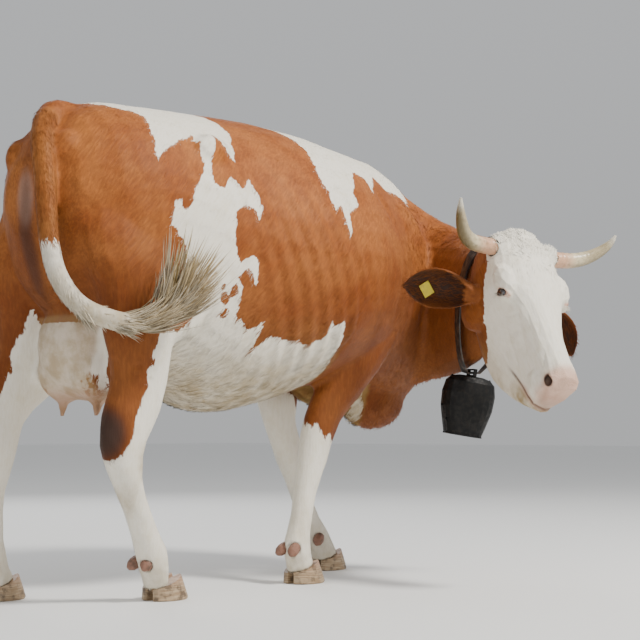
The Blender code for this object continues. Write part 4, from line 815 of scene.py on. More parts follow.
def stains_and_shade(points, owner):
    """Dirty yellow on the tail and lower legs, and smudges elsewhere; the same colour on the belly's
    underside and the udder is part dirt and part painted shade, and on the chin and under the jaw it is
    painted shade.
    """
    tail = is_node(owner, *TAIL)
    stain_and_shade = np.where(tail, 0.12 + fade(points[:, 2], 0.90, 0.03) * 0.50, 0.0)
    legs = is_node(owner, *LEGS)
    stain_and_shade = np.maximum(stain_and_shade, np.where(legs, fade(points[:, 2], 0.10, 0.03) * 0.45, 0.0))
    # Part dirt and part painted shade on the udder
    stain_and_shade = np.where(is_node(owner, "udder"), 0.65, stain_and_shade)
    # Part dirt and part painted shade on the belly's underside, more towards the bottom
    belly = is_node(owner, "torso") & (points[:, 2] < 0.82)
    stain_and_shade = np.where(belly, 0.80 * fade(points[:, 2], 0.685, 0.040), stain_and_shade)
    local = in_head(points)
    # Painted shade on the chin below the mouth and under the back of the jaw
    chin = fade(mouth_reach(local), -0.007, 0.003) * fade(-local[:, 0], -0.440, 0.015) * 0.95
    jaw = fade(local[:, 2], -0.245, 0.020) * fade(-local[:, 0], -0.250, 0.020) * 0.55
    stain_and_shade = np.where(is_node(owner, "head"), np.maximum(chin, jaw), stain_and_shade)
    for centre, size, strength in SMUDGES:
        stain_and_shade = np.maximum(stain_and_shade, near(points, centre, size, 0.25) * strength)
    return stain_and_shade


# Skin

def seam_share(points):
    """1 at the cut between head and neck, fading within a few centimetres."""
    place = np.array((0.5623, -0.3630, 1.1200))
    normal = np.array((-0.348, -0.836, -0.426))
    reach = np.abs((points - place) @ (normal / np.linalg.norm(normal)))
    return np.exp(-((reach / 0.014) ** 2)) * (np.linalg.norm(points - place, axis=1) < 0.42)


def union(made, other):
    cut = made.modifiers.new("union", "BOOLEAN")
    cut.operation = "UNION"
    cut.solver = "MANIFOLD"
    cut.object = other
    applied(made)
    bpy.data.objects.remove(other)
    return made


def ribs(points, owner):
    """Soft ribs on the side of the trunk."""
    back, front, low, high = RIB_RANGE
    slanted = points[:, 0] + 0.30 * (points[:, 2] - 0.9)
    wave = np.cos(slanted * math.tau / RIB_SPACING)
    inside = fade(-slanted, -back, 0.04) * fade(slanted, front, 0.04)
    inside *= fade(-points[:, 2], -low, 0.05) * fade(points[:, 2], high, 0.05)
    return np.where(is_node(owner, "torso"), wave * inside * RIB_DEPTH, 0.0)


def folds(points, owner):
    """How far the skin sinks into its folds, on both sides."""
    sunk = np.zeros(len(points))
    head = np.nonzero(is_node(owner, "head"))[0]
    local = in_head(points[head])
    local[:, 1] = -np.abs(local[:, 1])
    for line, width, depth in HEAD_FOLDS:
        sunk[head] += depth * np.exp(-((polyline_distance(local, line) / width) ** 2))
    body = np.nonzero(is_node(owner, *TRUNK, *LEGS))[0]
    sided = points[body].copy()
    sided[:, 1] = TRUNK_MIDDLE - np.abs(sided[:, 1] - TRUNK_MIDDLE)
    for line, width, depth in BODY_FOLDS:
        sunk[body] += depth * np.exp(-((polyline_distance(sided, line) / width) ** 2))
    return sunk


def small_waves(points, scale, depth):
    """Slow unevenness of flesh."""
    return np.array([noise.noise(Vector(point) * scale) for point in points]) * depth


def coat_depth(owner):
    depth = np.zeros(len(owner))
    for index, name in enumerate(FLESH):
        key = next(key for key in COAT_DEPTH if name.startswith(key))
        depth[owner == index] = COAT_DEPTH[key]
    return depth


def ear_hollow(points, normals, owner):
    """1 on the inner wall of each ear's cup, which looks at the ear's own axis."""
    hollow = np.zeros(len(points))
    for name, ear in EARS.items():
        chosen = is_node(owner, name)
        local = (points[chosen] - np.array(ear["root"])) @ ear["axes"]
        facing = normals[chosen] @ ear["axes"]
        inward = unit(-local[:, 1:] + np.array((0.0, 0.004)))
        look = (facing[:, 1:] * inward).sum(axis=1)
        rim = fade(-local[:, 0], -0.045, 0.006) * fade(np.abs(local[:, 1]), 0.056, 0.005)
        hollow[chosen] = fade(-look, -0.15, 0.10) * rim
    return hollow


def ear_place(root, aim, mouth):
    """An ear's root and axes: X to its tip, Z out of its cup, one axis a column."""
    along = Vector(aim).normalized()
    out = (Vector(mouth) - along * Vector(mouth).dot(along)).normalized()
    across = out.cross(along)
    return {
        "root": from_head([root])[0],
        "axes": np.array(Matrix((along, across, out)).transposed()),
    }


EARS = {
    "ear_right": ear_place((0.139, -0.106, -0.157), (-0.553, 0.831, 0.140), (-0.700, -0.600, -0.380)),
    "ear_left": ear_place((0.112, 0.108, -0.158), (0.718, -0.160, -0.722), (-0.560, -0.640, -0.530)),
}


def lies(points, owner):
    """The way the hair lies at every point, before it is laid on the skin."""
    way = np.tile((-0.64, 0.0, -0.77), (len(points), 1))
    local = in_head(points)
    axes = np.array(head_axes())
    head = is_node(owner, "head")
    down_face = np.tile(axes[:, 0], (len(points), 1))
    up_face = -axes[:, 0] * 0.8 + np.sign(local[:, 1:2]) * axes[:, 1] * 0.3
    whorl = fade(local[:, 0:1], 0.120, 0.015) * fade(-local[:, 2:3], 0.050, 0.010)
    way[head] = (down_face * (1.0 - whorl) + up_face * whorl)[head]
    cheek = head & (local[:, 2] < -0.10)
    way[cheek] = (axes[:, 0] * 0.5 - axes[:, 2] * 0.85)
    neck = is_node(owner, "neck")
    way[neck] = (0.25, 0.45, -0.85)
    for name in LEGS + ["udder"]:
        way[is_node(owner, name)] = (-0.22, 0.0, -0.97)
    for name in LEGS[2:]:
        chosen = is_node(owner, name) & (points[:, 2] > 0.55)
        way[chosen] = (-0.55, 0.0, -0.83)
    for name in TAIL[:2]:
        way[is_node(owner, name)] = (0.05, -0.30, -0.95)
    way[is_node(owner, "tail_lower")] = (0.85, -0.50, -0.15)
    for name, ear in EARS.items():
        way[is_node(owner, name)] = ear["axes"][:, 0]
    return way


def regions(owner):
    """Weights of the leg and head lies for the material."""
    leg = is_node(owner, *LEGS, "udder", *TAIL).astype(float)
    head = is_node(owner, *FACE_NODES).astype(float)
    return np.stack([leg, head, np.zeros(len(owner))], axis=1)


def set_values(mesh, name, values):
    kind = "FLOAT" if values.ndim == 1 else "FLOAT_VECTOR"
    made = mesh.attributes.new(name, kind, "POINT")
    made.data.foreach_set("value" if values.ndim == 1 else "vector", values.astype(np.float32).ravel())


def smoothed(points, pairs, owner):
    """The fused flesh relaxed, least on its fine nodes and most along the seams."""
    face = is_node(owner, *FACE_NODES)
    fine = is_node(owner, "udder", *TAIL)
    legs = is_node(owner, *LEGS)
    points = relaxed(points, pairs, np.where(face | fine, 0.0, 1.0), 26)
    points = relaxed(points, pairs, np.where(face | legs, 0.6, 1.0), 5)
    return relaxed(points, pairs, seam_share(points), 16)


def sunk_depth(points, pairs, owner):
    """How far the skin lies under the CAD surface: the coat's depth, folds, ribs and small waves."""
    sink = spread(coat_depth(owner)[:, None], pairs, 12)[:, 0]
    sink += folds(points, owner)
    sink -= ribs(points, owner)
    waves = small_waves(points, WAVE_SCALE, WAVE_DEPTH)
    sink -= np.where(is_node(owner, *FACE_NODES), waves * 0.4, waves)
    low = fade(points[:, 2], 0.10, 0.01)
    return sink * (1.0 - low) + SOLE_DEPTH * low


def skin_values(points, normals, pairs, owner):
    """What the coat needs to know at each point of the skin."""
    hollow = ear_hollow(points, normals, owner)
    mark = markings(points, owner)
    dark = dark_places(points, owner, hollow, mark)
    tint = np.stack([bare_skin(points, owner), dark, stains_and_shade(points, owner)], axis=1)
    return {
        "origin": points,
        "mark": mark,
        "tint": spread(tint, pairs, 2),
        "region": spread(regions(owner), pairs, 14),
        "lie": spread(lies(points, owner), pairs, 20),
        "normal": normals,
        "owner": owner,
        "hollow": hollow,
    }


def make_skin():
    """The skin and what the coat needs to know of it."""
    body = fused("skin", TRUNK + LEGS + TAIL, BODY_VOXEL)
    face = fused("face", FACE_NODES, HEAD_VOXEL)
    skin = keep_largest(union(body, face))
    mesh = skin.data
    points = coordinates(mesh)
    pairs = edge_pairs(mesh)
    owner = nearest_nodes(points)
    points = smoothed(points, pairs, owner)
    set_coordinates(mesh, points)
    points = points - vertex_normals(mesh) * sunk_depth(points, pairs, owner)[:, None]
    set_coordinates(mesh, points)
    mesh.shade_smooth()
    known = skin_values(points, vertex_normals(mesh), pairs, owner)
    for name in ("origin", "mark", "tint", "region"):
        set_values(mesh, name, known[name])
    mesh.materials.clear()
    mesh.materials.append(coat_material("skin_finish", tufted=False))
    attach(skin, "root")
    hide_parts(*FLESH)
    known["triangles"] = triangle_corners(mesh)
    known["unwrap"] = unwrap(known)
    return known


def unwrap(skin):
    """Each vertex's place on an unwrap of the skin: every node is rolled off round its own middle line."""
    tiles = {
        "torso": (0.01, 0.01, 0.47, 0.98), "neck": (0.50, 0.67, 0.18, 0.32),
        "head": (0.70, 0.67, 0.29, 0.32),
        "leg_front_right": (0.50, 0.01, 0.115, 0.42),
        "leg_front_left": (0.625, 0.01, 0.115, 0.42),
        "leg_hind_right": (0.75, 0.01, 0.115, 0.42),
        "leg_hind_left": (0.875, 0.01, 0.115, 0.42),
        "udder": (0.50, 0.45, 0.12, 0.20), "ear_right": (0.64, 0.45, 0.10, 0.20),
        "ear_left": (0.76, 0.45, 0.10, 0.20), "tail_upper": (0.88, 0.45, 0.03, 0.20),
        "tail_middle": (0.92, 0.45, 0.03, 0.20), "tail_lower": (0.96, 0.45, 0.03, 0.20),
    }
    face = np.array(head_axes())
    frames = {name: np.eye(3)[:, (2, 0, 1)] for name in LEGS + TAIL + ["udder"]}
    frames["torso"] = np.eye(3)
    frames["neck"] = face
    frames["head"] = face
    for name, ear in EARS.items():
        frames[name] = ear["axes"]
    places = np.zeros((len(skin["origin"]), 2))
    for index, name in enumerate(FLESH):
        chosen = skin["owner"] == index
        local = skin["origin"][chosen] @ frames[name]
        along = local[:, 0]
        share = (along - along.min()) / max(np.ptp(along), 1e-6)
        bins = np.linspace(0.0, 1.0, 13)
        slot = np.digitize(share, bins[1:-1])
        count = np.maximum(np.bincount(slot, minlength=12), 1)
        middles = [np.bincount(slot, local[:, axis], 12) / count for axis in (1, 2)]
        centres = (bins[1:] + bins[:-1]) / 2.0
        across = local[:, 1] - np.interp(share, centres, middles[0])
        up = local[:, 2] - np.interp(share, centres, middles[1])
        turn = np.arctan2(across, up) / math.tau + 0.5
        x, y, width, height = tiles[name]
        places[chosen] = np.stack([x + width * turn, y + height * share], axis=1)
    return places


# Coat

# A tuft's thickness as a share of its width, the turn of its shading at each corner of its section, and
# the size of its patch on the unwrap
TUFT_THICKNESS = 0.14
TUFT_TILT = (-0.35, 0.35, 0.0)
PATCH_WIDTH = 0.0014
PATCH_LENGTH = 0.0022

# Pieces of the coat: tufts, length, width and lift of a tuft, and what differs from the plain tuft
COAT = {
    "trunk_0": (46000, 0.020, 0.0023, 0.035, dict(rows=1, stray=0.22, shades=0.30)),
    "trunk_1": (46000, 0.020, 0.0023, 0.035, dict(rows=1, stray=0.22, shades=0.30)),
    "belly": (5000, 0.030, 0.0032, 0.14, dict(rows=3)),
    "neck": (18000, 0.026, 0.0030, 0.09, dict(stray=0.24)),
    "legs": (40000, 0.014, 0.0018, 0.05, dict(rows=1)),
    "head": (26000, 0.0085, 0.0012, 0.05, dict(rows=1, sink=0.0006)),
    "poll": (4200, 0.021, 0.0024, 0.14, dict(rows=3, stray=0.38, shades=0.2)),
    "ears": (9000, 0.013, 0.0016, 0.10, dict(sink=0.0005)),
    "ear_cups": (1300, 0.022, 0.0011, 0.40, dict(rows=3, stray=0.4, sink=0.0004, shades=0.6)),
    "tail": (5000, 0.026, 0.0024, 0.07, dict(rows=3)),
    "udder": (2600, 0.010, 0.0012, 0.12, dict()),
    "lashes": (220, 0.013, 0.0008, 0.9, dict(rows=3, stray=0.2, sink=0.0004, shades=0.2)),
}
# The hairs in the ear cups keep this share of the skin's painted shade
CUP_SHADE_SHARE = 0.35
# The band over an eye's slit where the lashes grow, as shares of the slit's oval
LASH_BAND = (1.0, 1.35)


def strew(skin, count, weight, draw):
    """Random places on the skin, denser where weight is larger, with what the skin knows there."""
    corners = skin["triangles"]
    a, b, c = (skin["origin"][corners[:, k]] for k in range(3))
    area = np.linalg.norm(np.cross(b - a, c - a), axis=1) / 2.0
    chance = area * weight[corners].mean(axis=1)
    picks = draw.choice(len(corners), size=count, p=chance / chance.sum())
    u, v = draw.random(count), draw.random(count)
    flip = u + v > 1.0
    u[flip], v[flip] = 1.0 - u[flip], 1.0 - v[flip]
    shares = np.stack([1.0 - u - v, u, v], axis=1)
    chosen = corners[picks]
    found = {}
    for name in ("origin", "tint", "region", "lie", "normal", "mark"):
        values = skin[name][chosen]
        found[name] = np.einsum("nk,nk...->n...", shares, values)
    found["unwrap"] = skin["unwrap"][chosen[:, 0]]
    return found


def unit(vectors):
    return vectors / np.maximum(np.linalg.norm(vectors, axis=1, keepdims=True), 1e-9)


def tuft_places(found, length, width, lift, draw, rows, stray, sink, bend):
    """The points of all tufts, tufts by points, with the normal of each and the way across it."""
    count = len(found["origin"])
    normal = unit(found["normal"])
    lie = unit(found["lie"] - normal * (found["lie"] * normal).sum(axis=1, keepdims=True))
    across = np.cross(normal, lie)
    lie = unit(lie + across * draw.normal(0.0, stray, (count, 1)))
    across = np.cross(normal, lie)
    length = length * draw.uniform(0.7, 1.25, count)
    width = width * draw.uniform(0.7, 1.3, count)
    lift = lift * draw.uniform(0.5, 1.5, count)
    curl = draw.normal(0.0, 0.10, count)
    rings = []
    for step in range(rows):
        t = step / rows
        size = (0.80 + 0.55 * t) * (1.0 - t) ** 0.5
        rise = lift * t * (1.35 - 0.75 * t)
        centre = found["origin"] - normal * sink
        centre = centre + lie * (length * t)[:, None] + normal * (length * rise)[:, None]
        centre = centre + across * (length * curl * t * t)[:, None]
        if bend is not None:
            centre = centre + bend * (length * t * t)[:, None]
        half = (width * size * 0.5)[:, None]
        ridge = centre + normal * half * 2.0 * TUFT_THICKNESS
        rings += [centre - across * half, centre + across * half, ridge]
    tip = found["origin"] + lie * length[:, None] + normal * (length * lift * 0.6)[:, None]
    tip = tip + across * (length * curl)[:, None]
    if bend is not None:
        tip = tip + bend * length[:, None]
    return np.stack(rings + [tip], axis=1), normal, across


def tuft_faces(rows):
    """The faces of one tuft: the root, the sides and the tip."""
    faces = [(0, 2, 1)]
    last = (rows - 1) * 3
    for base in range(0, last, 3):
        faces += [(base + k, base + (k + 1) % 3, base + 3 + (k + 1) % 3, base + 3 + k) for k in range(3)]
    return faces + [(last + k, last + (k + 1) % 3, last + 3) for k in range(3)]


def set_patches(mesh, centres, rows):
    """Lay each tuft on a small patch of the unwrap, round the place of its root."""
    point = np.arange(rows * 3 + 1)
    across = (point % 3 - 1.0) * PATCH_WIDTH / 2.0
    along = (point // 3 / rows - 0.5) * PATCH_LENGTH
    spots = (centres[:, None, :] + np.stack([across, along], axis=1)).reshape(-1, 2)
    layer = mesh.uv_layers.new(name="OFBake")
    corner = read(mesh.loops, "vertex_index", 1)[:, 0]
    layer.data.foreach_set("uv", spots[corner].astype(np.float32).ravel())


def add_tufts(name, found, length, width, lift, draw, rows=2, stray=0.18, sink=0.0012, slot="coat",
              bend=None, shades=0.35):
    """Tapered locks of three-sided section, laid along the lie, as one mesh.

    Unless they are bent, they shade as the skin does.
    """
    places, normal, across = tuft_places(found, length, width, lift, draw, rows, stray, sink, bend)
    count, per = places.shape[:2]
    made = solid_from_pattern(name, places, tuft_faces(rows))
    mesh = made.data
    for key in ("origin", "mark", "tint", "region"):
        set_values(mesh, key, np.repeat(found[key], per, axis=0))
    set_values(mesh, "tuft", np.repeat(0.5 + (draw.random(count) - 0.5) * shades, per))
    if bend is None:
        tilt = np.append(np.tile(TUFT_TILT, rows), 0.0)
        shaded = normal[:, None, :] + across[:, None, :] * tilt[None, :, None]
        mesh.normals_split_custom_set_from_vertices(unit(shaded.reshape(-1, 3)))
    set_patches(mesh, found["unwrap"], rows)
    mesh.materials.append(COAT_FINISH)
    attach(made, "root")
    return made


def solid_from_pattern(name, places, faces):
    """One mesh of many alike solids: places is solids by points, faces the pattern of each."""
    count, per = places.shape[:2]
    starts = np.arange(count)[:, None] * per
    pattern = np.concatenate([np.array(face) for face in faces])
    lengths = np.array([len(face) for face in faces])
    loops = (starts + pattern[None, :]).ravel()
    totals = np.tile(lengths, count)
    mesh = bpy.data.meshes.new(name)
    mesh.vertices.add(count * per)
    mesh.vertices.foreach_set("co", places.astype(np.float32).ravel())
    mesh.loops.add(len(loops))
    mesh.loops.foreach_set("vertex_index", loops.astype(np.int32))
    mesh.polygons.add(len(totals))
    first = np.concatenate([[0], np.cumsum(totals)[:-1]])
    mesh.polygons.foreach_set("loop_start", first.astype(np.int32))
    mesh.update(calc_edges=True)
    mesh.shade_smooth()
    return add_object(name, mesh)


def owned(skin, *names):
    return is_node(skin["owner"], *names).astype(float)


def coat_weights(skin):
    """How densely each piece of the coat grows at every point of the skin."""
    bare = 1.0 - np.clip(skin["tint"][:, 0] * 1.6, 0.0, 1.0)
    height = skin["origin"][:, 2]
    trunk = owned(skin, "torso") * bare
    head = owned(skin, "head") * bare
    local = in_head(skin["origin"])
    poll = head * fade(local[:, 0], 0.075, 0.02) * fade(np.abs(local[:, 1]), 0.090, 0.012)
    ears = owned(skin, "ear_right", "ear_left")
    return {
        "trunk_0": trunk,
        "trunk_1": trunk,
        "belly": trunk * fade(skin["normal"][:, 2], -0.25, 0.12) * fade(height, 0.85, 0.03),
        "neck": owned(skin, "neck") * bare,
        "legs": owned(skin, *LEGS) * bare * (0.35 + fade(height, 0.62, 0.05)),
        "head": head,
        "poll": poll * fade(-local[:, 2], 0.06, 0.02),
        "ears": ears * (1.0 - skin["hollow"]),
        "ear_cups": ears * skin["hollow"],
        "tail": owned(skin, "tail_upper", "tail_middle"),
        "udder": owned(skin, "udder") * (height > 0.60),
    }


def lash_places(skin):
    """Where the lashes grow on the upper lids, and the way they point."""
    weight = np.zeros(len(skin["origin"]))
    outward = np.zeros_like(skin["origin"])
    least, most = LASH_BAND
    for side in (-1, 1):
        place, ratio = near_eye(skin["origin"], side)
        upper = (ratio > least) & (ratio < most) & (place[:, 1] * side > 0.0)
        weight[upper] = 1.0
        outward[upper] = eye_axes(side)[:, 2]
    return weight, outward + skin["lie"] * 0.6


def make_coat(skin):
    """Short flat tufts all over, longer where the coat stands off the body, and lashes."""
    draw = np.random.default_rng(SEED)
    weights = coat_weights(skin)
    weights["lashes"], lash_lie = lash_places(skin)
    for name, (count, length, width, lift, rest) in COAT.items():
        known = dict(skin, lie=lash_lie) if name == "lashes" else skin
        found = strew(known, count, weights[name], draw)
        if name == "ear_cups":
            # The hairs keep only part of the painted shade of the cup under them
            found["tint"][:, 1] *= CUP_SHADE_SHARE
        add_tufts(f"coat_{name}", found, length, width, lift, draw, **rest)


# Tail switch

# Middle line of the tail's last stretch
TAIL_LINE = [(-0.8737, 0.118, 0.886), (-0.8437, 0.068, 0.812), (-0.7837, 0.010, 0.772),
             (-0.7137, -0.038, 0.760), (-0.6437, -0.062, 0.780)]
# The way the end of the switch points, and how its locks fan
SWITCH_UP = (0.28, -0.22, 0.80)
SWITCH_FAN = (-0.30, 0.26, 0.12)
SWITCH_LOCKS = 1900
LOCK_WIDTH = 0.0058


def make_switch():
    """Long locks from the last stretch of the tail, thrown up against the flank."""
    draw = np.random.default_rng(SEED + 1)
    count = SWITCH_LOCKS
    line = np.array(TAIL_LINE)
    spot = draw.random(count) ** 0.6 * (len(line) - 1)
    low = np.minimum(spot.astype(int), len(line) - 2)
    centre = line[low] + (line[low + 1] - line[low]) * (spot - low)[:, None]
    along = unit(line[low + 1] - line[low])
    turn = draw.uniform(0.0, math.tau, count)
    side = unit(np.cross(along, (0.0, 0.0, 1.0)))
    up = np.cross(side, along)
    normal = side * np.cos(turn)[:, None] + up * np.sin(turn)[:, None]
    share = spot / (len(line) - 1)
    fan = draw.uniform(-1.0, 1.0, count)
    root = centre + normal * (0.021 + 0.004 * share)[:, None]
    lifted = np.array(SWITCH_UP) + np.array(SWITCH_FAN) * fan[:, None]
    late = np.clip((share - 0.35) / 0.65, 0.0, 1.0)[:, None]
    aim = unit(along * (1.15 - late) + lifted * late * 0.9)
    dark = draw.uniform(0.0, 0.25, count) * share
    found = {
        "origin": root, "normal": normal, "lie": aim, "mark": np.full(count, 0.05),
        "tint": np.stack([np.zeros(count), dark, 0.55 + 0.40 * share], axis=1),
        "region": np.tile((1.0, 0.0, 0.0), (count, 1)),
        "unwrap": np.stack([0.961 + 0.028 * turn / math.tau, 0.46 + 0.18 * share], axis=1),
    }
    length = 0.070 + 0.075 * share ** 1.5
    bend = (lifted * 0.55 + np.array((-0.10, 0.0, 0.10))) * late
    made = add_tufts("tail_switch_locks", found, length, LOCK_WIDTH, 0.05, draw, rows=6, stray=0.09,
                     sink=0.004, slot="tail_hair", bend=bend, shades=1.0)
    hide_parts("tail_switch")


# Horny parts

def dressed(name):
    """A finer copy of a CAD node that stands for it."""
    work = grown_copy(name, 0.0)
    mesh = bpy.data.meshes.new(f"{name}_shape")
    work.to_mesh(mesh)
    work.free()
    made = add_object(f"{name}_dressed", mesh)
    finer = made.modifiers.new("finer", "SUBSURF")
    finer.levels = HORN_LEVELS
    finer.render_levels = HORN_LEVELS
    applied(made)
    made.data.shade_smooth()
    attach(made, "root")
    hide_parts(name)
    return made


# Rounds of subdivision on the horns, and the middle line of each from root to tip
HORN_LEVELS = 2
HORN_LINES = {
    "horn_right": [(0.4313, -0.388, 1.046), (0.3913, -0.376, 1.050), (0.3363, -0.368, 1.056),
                   (0.2913, -0.372, 1.076), (0.2583, -0.384, 1.110), (0.2403, -0.393, 1.145),
                   (0.2343, -0.400, 1.178)],
    "horn_left": [(0.6263, -0.452, 1.020), (0.6663, -0.468, 1.021), (0.7163, -0.490, 1.022),
                  (0.7613, -0.518, 1.034), (0.7933, -0.550, 1.056), (0.8093, -0.576, 1.080),
                  (0.8143, -0.593, 1.105)],
}
# Rings at the foot of a horn: depth, and turns of the wave along the horn in radians
HORN_RING_DEPTH = 0.0006
HORN_RINGS = 95.0


def line_share(points, line):
    """How far along a polyline each point's nearest place lies, from 0 to 1."""
    line = np.array(line)
    steps = np.linalg.norm(np.diff(line, axis=0), axis=1)
    starts = np.concatenate([[0.0], np.cumsum(steps)])
    best, share = np.full(len(points), np.inf), np.zeros(len(points))
    for index, (start, end) in enumerate(zip(line[:-1], line[1:])):
        way = end - start
        t = np.clip((points - start) @ way / (way @ way), 0.0, 1.0)
        reach = np.linalg.norm(points - start - t[:, None] * way, axis=1)
        closer = reach < best
        best[closer] = reach[closer]
        share[closer] = (starts[index] + t[closer] * steps[index]) / starts[-1]
    return share


def horn_material():
    finish, shader = new_material("horn_finish")
    along = attribute(finish, "along").outputs["Fac"]
    place = node(finish, "ShaderNodeTexCoord").outputs["Object"]
    grain = noise_at(finish, place, 60.0, 4.0)
    streaks = node(finish, "ShaderNodeTexWave", Scale=26.0, Distortion=5.0, Detail=2.0)
    link(finish, place, streaks.inputs["Vector"])
    base, cream = (0.62, 0.36, 0.22), (0.66, 0.56, 0.36)
    olive, tip = (0.115, 0.078, 0.022), (0.60, 0.56, 0.46)
    colour = mixed(finish, smooth_step(finish, along, 0.18, 0.42), base, cream)
    outer = attribute(finish, "outer").outputs["Fac"]
    olive_share = smooth_step(finish, along, 0.35, 0.60, 0.0, 0.45)
    colour = mixed(finish, olive_share, colour, olive)
    # The convex side of each horn turns olive, part its own colour and part painted shade
    outer_olive_and_shade = maths(finish, "MULTIPLY", smooth_step(finish, outer, -0.20, 0.85, 0.0, 0.92),
                    smooth_step(finish, along, 0.15, 0.45))
    colour = mixed(finish, outer_olive_and_shade, colour, olive)
    colour = mixed(finish, smooth_step(finish, along, 0.82, 0.97), colour, tip)
    colour = mixed(finish, smooth_step(finish, grain, 0.45, 0.75, 0.0, 0.45), colour, olive)
    link(finish, colour, shader.inputs["Base Color"])
    shader.inputs["Roughness"].default_value = 0.36
    add_bump(finish, shader, streaks.outputs["Fac"], 0.30, 0.001)
    return finish


def make_horns():
    finish = horn_material()
    for name, line in HORN_LINES.items():
        horn = dressed(name)
        points = coordinates(horn.data)
        share = line_share(points, line)
        rings = np.sin(share * HORN_RINGS) * HORN_RING_DEPTH * fade(share, 0.45, 0.08)
        set_coordinates(horn.data, points + vertex_normals(horn.data) * rings[:, None])
        set_values(horn.data, "along", share)
        # The outer value marks each horn's convex side, which the finish darkens with part painted shade
        ends = (np.array(line[0]) + np.array(line[-1])) / 2.0
        bulge = np.array(line[3]) - ends
        set_values(horn.data, "outer", vertex_normals(horn.data) @ (bulge / np.linalg.norm(bulge)))
        horn.data.materials.clear()
        horn.data.materials.append(finish)


CLAW_TONES = {
    "claw": ((0.300, 0.200, 0.110), (0.480, 0.360, 0.230)),
    "dewclaw": ((0.040, 0.014, 0.008), (0.085, 0.032, 0.018)),
}
CLAW_CROWN = (0.40, 0.20, 0.13)
MUD = (0.060, 0.035, 0.020)


def claw_material(name, low, high):
    """Ringed horn in two tones, with dried mud and a pinker crown."""
    finish, shader = new_material(name)
    place = node(finish, "ShaderNodeTexCoord").outputs["Object"]
    parts = node(finish, "ShaderNodeSeparateXYZ")
    link(finish, place, parts.inputs[0])
    rings = node(finish, "ShaderNodeTexNoise", Scale=1.0, Detail=3.0)
    stretch = node(finish, "ShaderNodeMapping")
    stretch.inputs["Scale"].default_value = (18.0, 18.0, 260.0)
    link(finish, place, stretch.inputs["Vector"])
    link(finish, stretch.outputs[0], rings.inputs["Vector"])
    mud = noise_at(finish, place, 45.0, 4.0)
    colour = mixed(finish, smooth_step(finish, rings.outputs["Fac"], 0.40, 0.65), low, high)
    crown = smooth_step(finish, parts.outputs["Z"], 0.030, 0.075, 0.0, 0.55)
    colour = mixed(finish, crown, colour, CLAW_CROWN)
    colour = mixed(finish, smooth_step(finish, mud, 0.48, 0.70, 0.0, 0.75), colour, MUD)
    link(finish, colour, shader.inputs["Base Color"])
    shader.inputs["Roughness"].default_value = 0.50
    add_bump(finish, shader, rings.outputs["Fac"], 0.5, 0.0012)
    return finish


def make_claws():
    for kind, tones in CLAW_TONES.items():
        finish = claw_material(f"{kind}_finish", *tones)
        repaint(finish, *(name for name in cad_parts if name.startswith(kind)))


def eye_material():
    finish, shader = new_material("eye_finish")
    place = node(finish, "ShaderNodeTexCoord").outputs["Object"]
    cloud = noise_at(finish, place, 180.0, 4.0)
    share = smooth_step(finish, cloud, 0.45, 0.70, 0.0, 0.6)
    colour = mixed(finish, share, (0.012, 0.008, 0.008), (0.06, 0.028, 0.016))
    link(finish, colour, shader.inputs["Base Color"])
    shader.inputs["Roughness"].default_value = 0.04
    shader.inputs["Coat Weight"].default_value = 1.0
    shader.inputs["Coat Roughness"].default_value = 0.02
    return finish


# The bell's own upward way, and its bead and rivets
BELL_UP = (0.110, -0.125, 1.000)
BEAD_RADIUS = 0.0026
BEAD_REACH = 0.0004
RIVET_RADIUS = 0.0042
RIVET_HEIGHTS = (0.30, 0.55, 0.78, 0.97)
RING_STEP = 0.12


def bell_ring(height):
    """The outer points of the bell's wall at a share of its height, in order, and their middle."""
    points = coordinates(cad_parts["bell"].data)
    up = np.array(BELL_UP) / np.linalg.norm(BELL_UP)
    level = points @ up
    goal = level.min() + (level.max() - level.min()) * height
    levels = np.unique(np.round(level, 4))
    nearest = levels[np.argmin(np.abs(levels - goal))]
    ring = points[np.abs(level - nearest) < 0.0006]
    centre = ring.mean(axis=0)
    first = np.cross(up, (0.0, 1.0, 0.0))
    first /= np.linalg.norm(first)
    second = np.cross(up, first)
    flat = (ring - centre) @ np.stack([first, second], axis=1)
    turn = np.round(np.arctan2(flat[:, 1], flat[:, 0]), 2)
    outer = {}
    for angle, reach, spot in zip(turn, np.linalg.norm(flat, axis=1), ring):
        key = round(angle / RING_STEP)
        if key not in outer or reach > outer[key][0]:
            outer[key] = (reach, spot)
    return np.array([outer[key][1] for key in sorted(outer)]), centre


def bead_mesh(ring):
    """A round wire along a closed ring of points."""
    curve = bpy.data.curves.new("bell_bead", "CURVE")
    curve.dimensions = "3D"
    curve.bevel_depth = BEAD_RADIUS
    curve.bevel_resolution = 3
    spline = curve.splines.new("POLY")
    spline.points.add(len(ring) - 1)
    for point, spot in zip(spline.points, ring):
        point.co = (*spot, 1.0)
    spline.use_cyclic_u = True
    bead = bpy.data.objects.new("bell_bead", curve)
    bpy.context.collection.objects.link(bead)
    graph = bpy.context.evaluated_depsgraph_get()
    mesh = bpy.data.meshes.new_from_object(bead.evaluated_get(graph))
    bpy.data.objects.remove(bead)
    return mesh


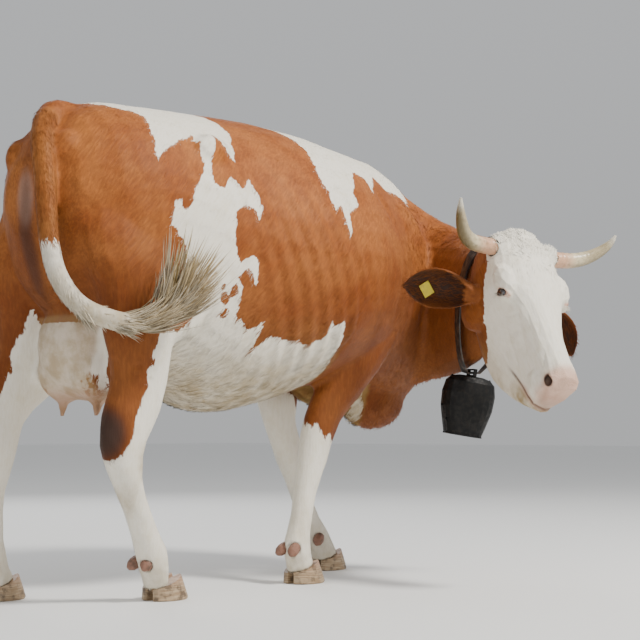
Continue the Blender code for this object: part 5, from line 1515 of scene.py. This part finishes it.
def trim_bell(finish):
    """A rolled bead round the bell's mouth and rivets down its two seams."""
    ring, centre = bell_ring(0.0)
    mesh = bead_mesh(ring + unit(ring - centre) * BEAD_REACH)
    work = bmesh.new()
    work.from_mesh(mesh)
    for height in RIVET_HEIGHTS:
        ring, centre = bell_ring(height)
        widest = int(np.argmax(np.linalg.norm(ring - centre, axis=1)))
        for pick in (widest, (widest + len(ring) // 2) % len(ring)):
            matrix = Matrix.Translation(ring[pick]) @ Matrix.Scale(RIVET_RADIUS, 4)
            bmesh.ops.create_uvsphere(work, u_segments=12, v_segments=8, radius=1.0, matrix=matrix)
    work.to_mesh(mesh)
    work.free()
    mesh.shade_smooth()
    mesh.materials.clear()
    mesh.materials.append(finish)
    trim = add_object("bell_trim", mesh)
    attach(trim, "root")


def plain_finish(name, first, second, scale, roughness, gloss=0.5):
    """A worn surface: two tones and fine relief."""
    finish, shader = new_material(name)
    place = node(finish, "ShaderNodeTexCoord").outputs["Object"]
    wear = noise_at(finish, place, scale, 5.0)
    grain = noise_at(finish, place, scale * 9.0, 3.0)
    colour = mixed(finish, smooth_step(finish, wear, 0.42, 0.68), first, second)
    link(finish, colour, shader.inputs["Base Color"])
    rough = smooth_step(finish, wear, 0.35, 0.70, roughness + 0.15, roughness - 0.08)
    link(finish, rough, shader.inputs["Roughness"])
    shader.inputs["Specular IOR Level"].default_value = gloss
    add_bump(finish, shader, grain, 0.5, 0.0008)
    return finish


def repaint(finish, *names):
    for name in names:
        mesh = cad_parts[name].data
        mesh.materials.clear()
        mesh.materials.append(finish)


add_camera()
add_lights()
add_floor()
COAT_FINISH = coat_material("coat_finish", tufted=True)
SKIN = make_skin()
make_coat(SKIN)
make_switch()
make_horns()
make_claws()
repaint(eye_material(), "eye_right", "eye_left")
repaint(plain_finish("leather_finish", LEATHER, LEATHER_WORN, 40.0, 0.50), "collar")
IRON_FINISH = plain_finish("iron_finish", IRON, IRON_WORN, 70.0, 0.50, gloss=0.25)
repaint(IRON_FINISH, "bell", "bell_clapper", "bell_staple")
trim_bell(IRON_FINISH)
repaint(plain_finish("tag_finish", TAG, TAG_WORN, 50.0, 0.40), "ear_tag")
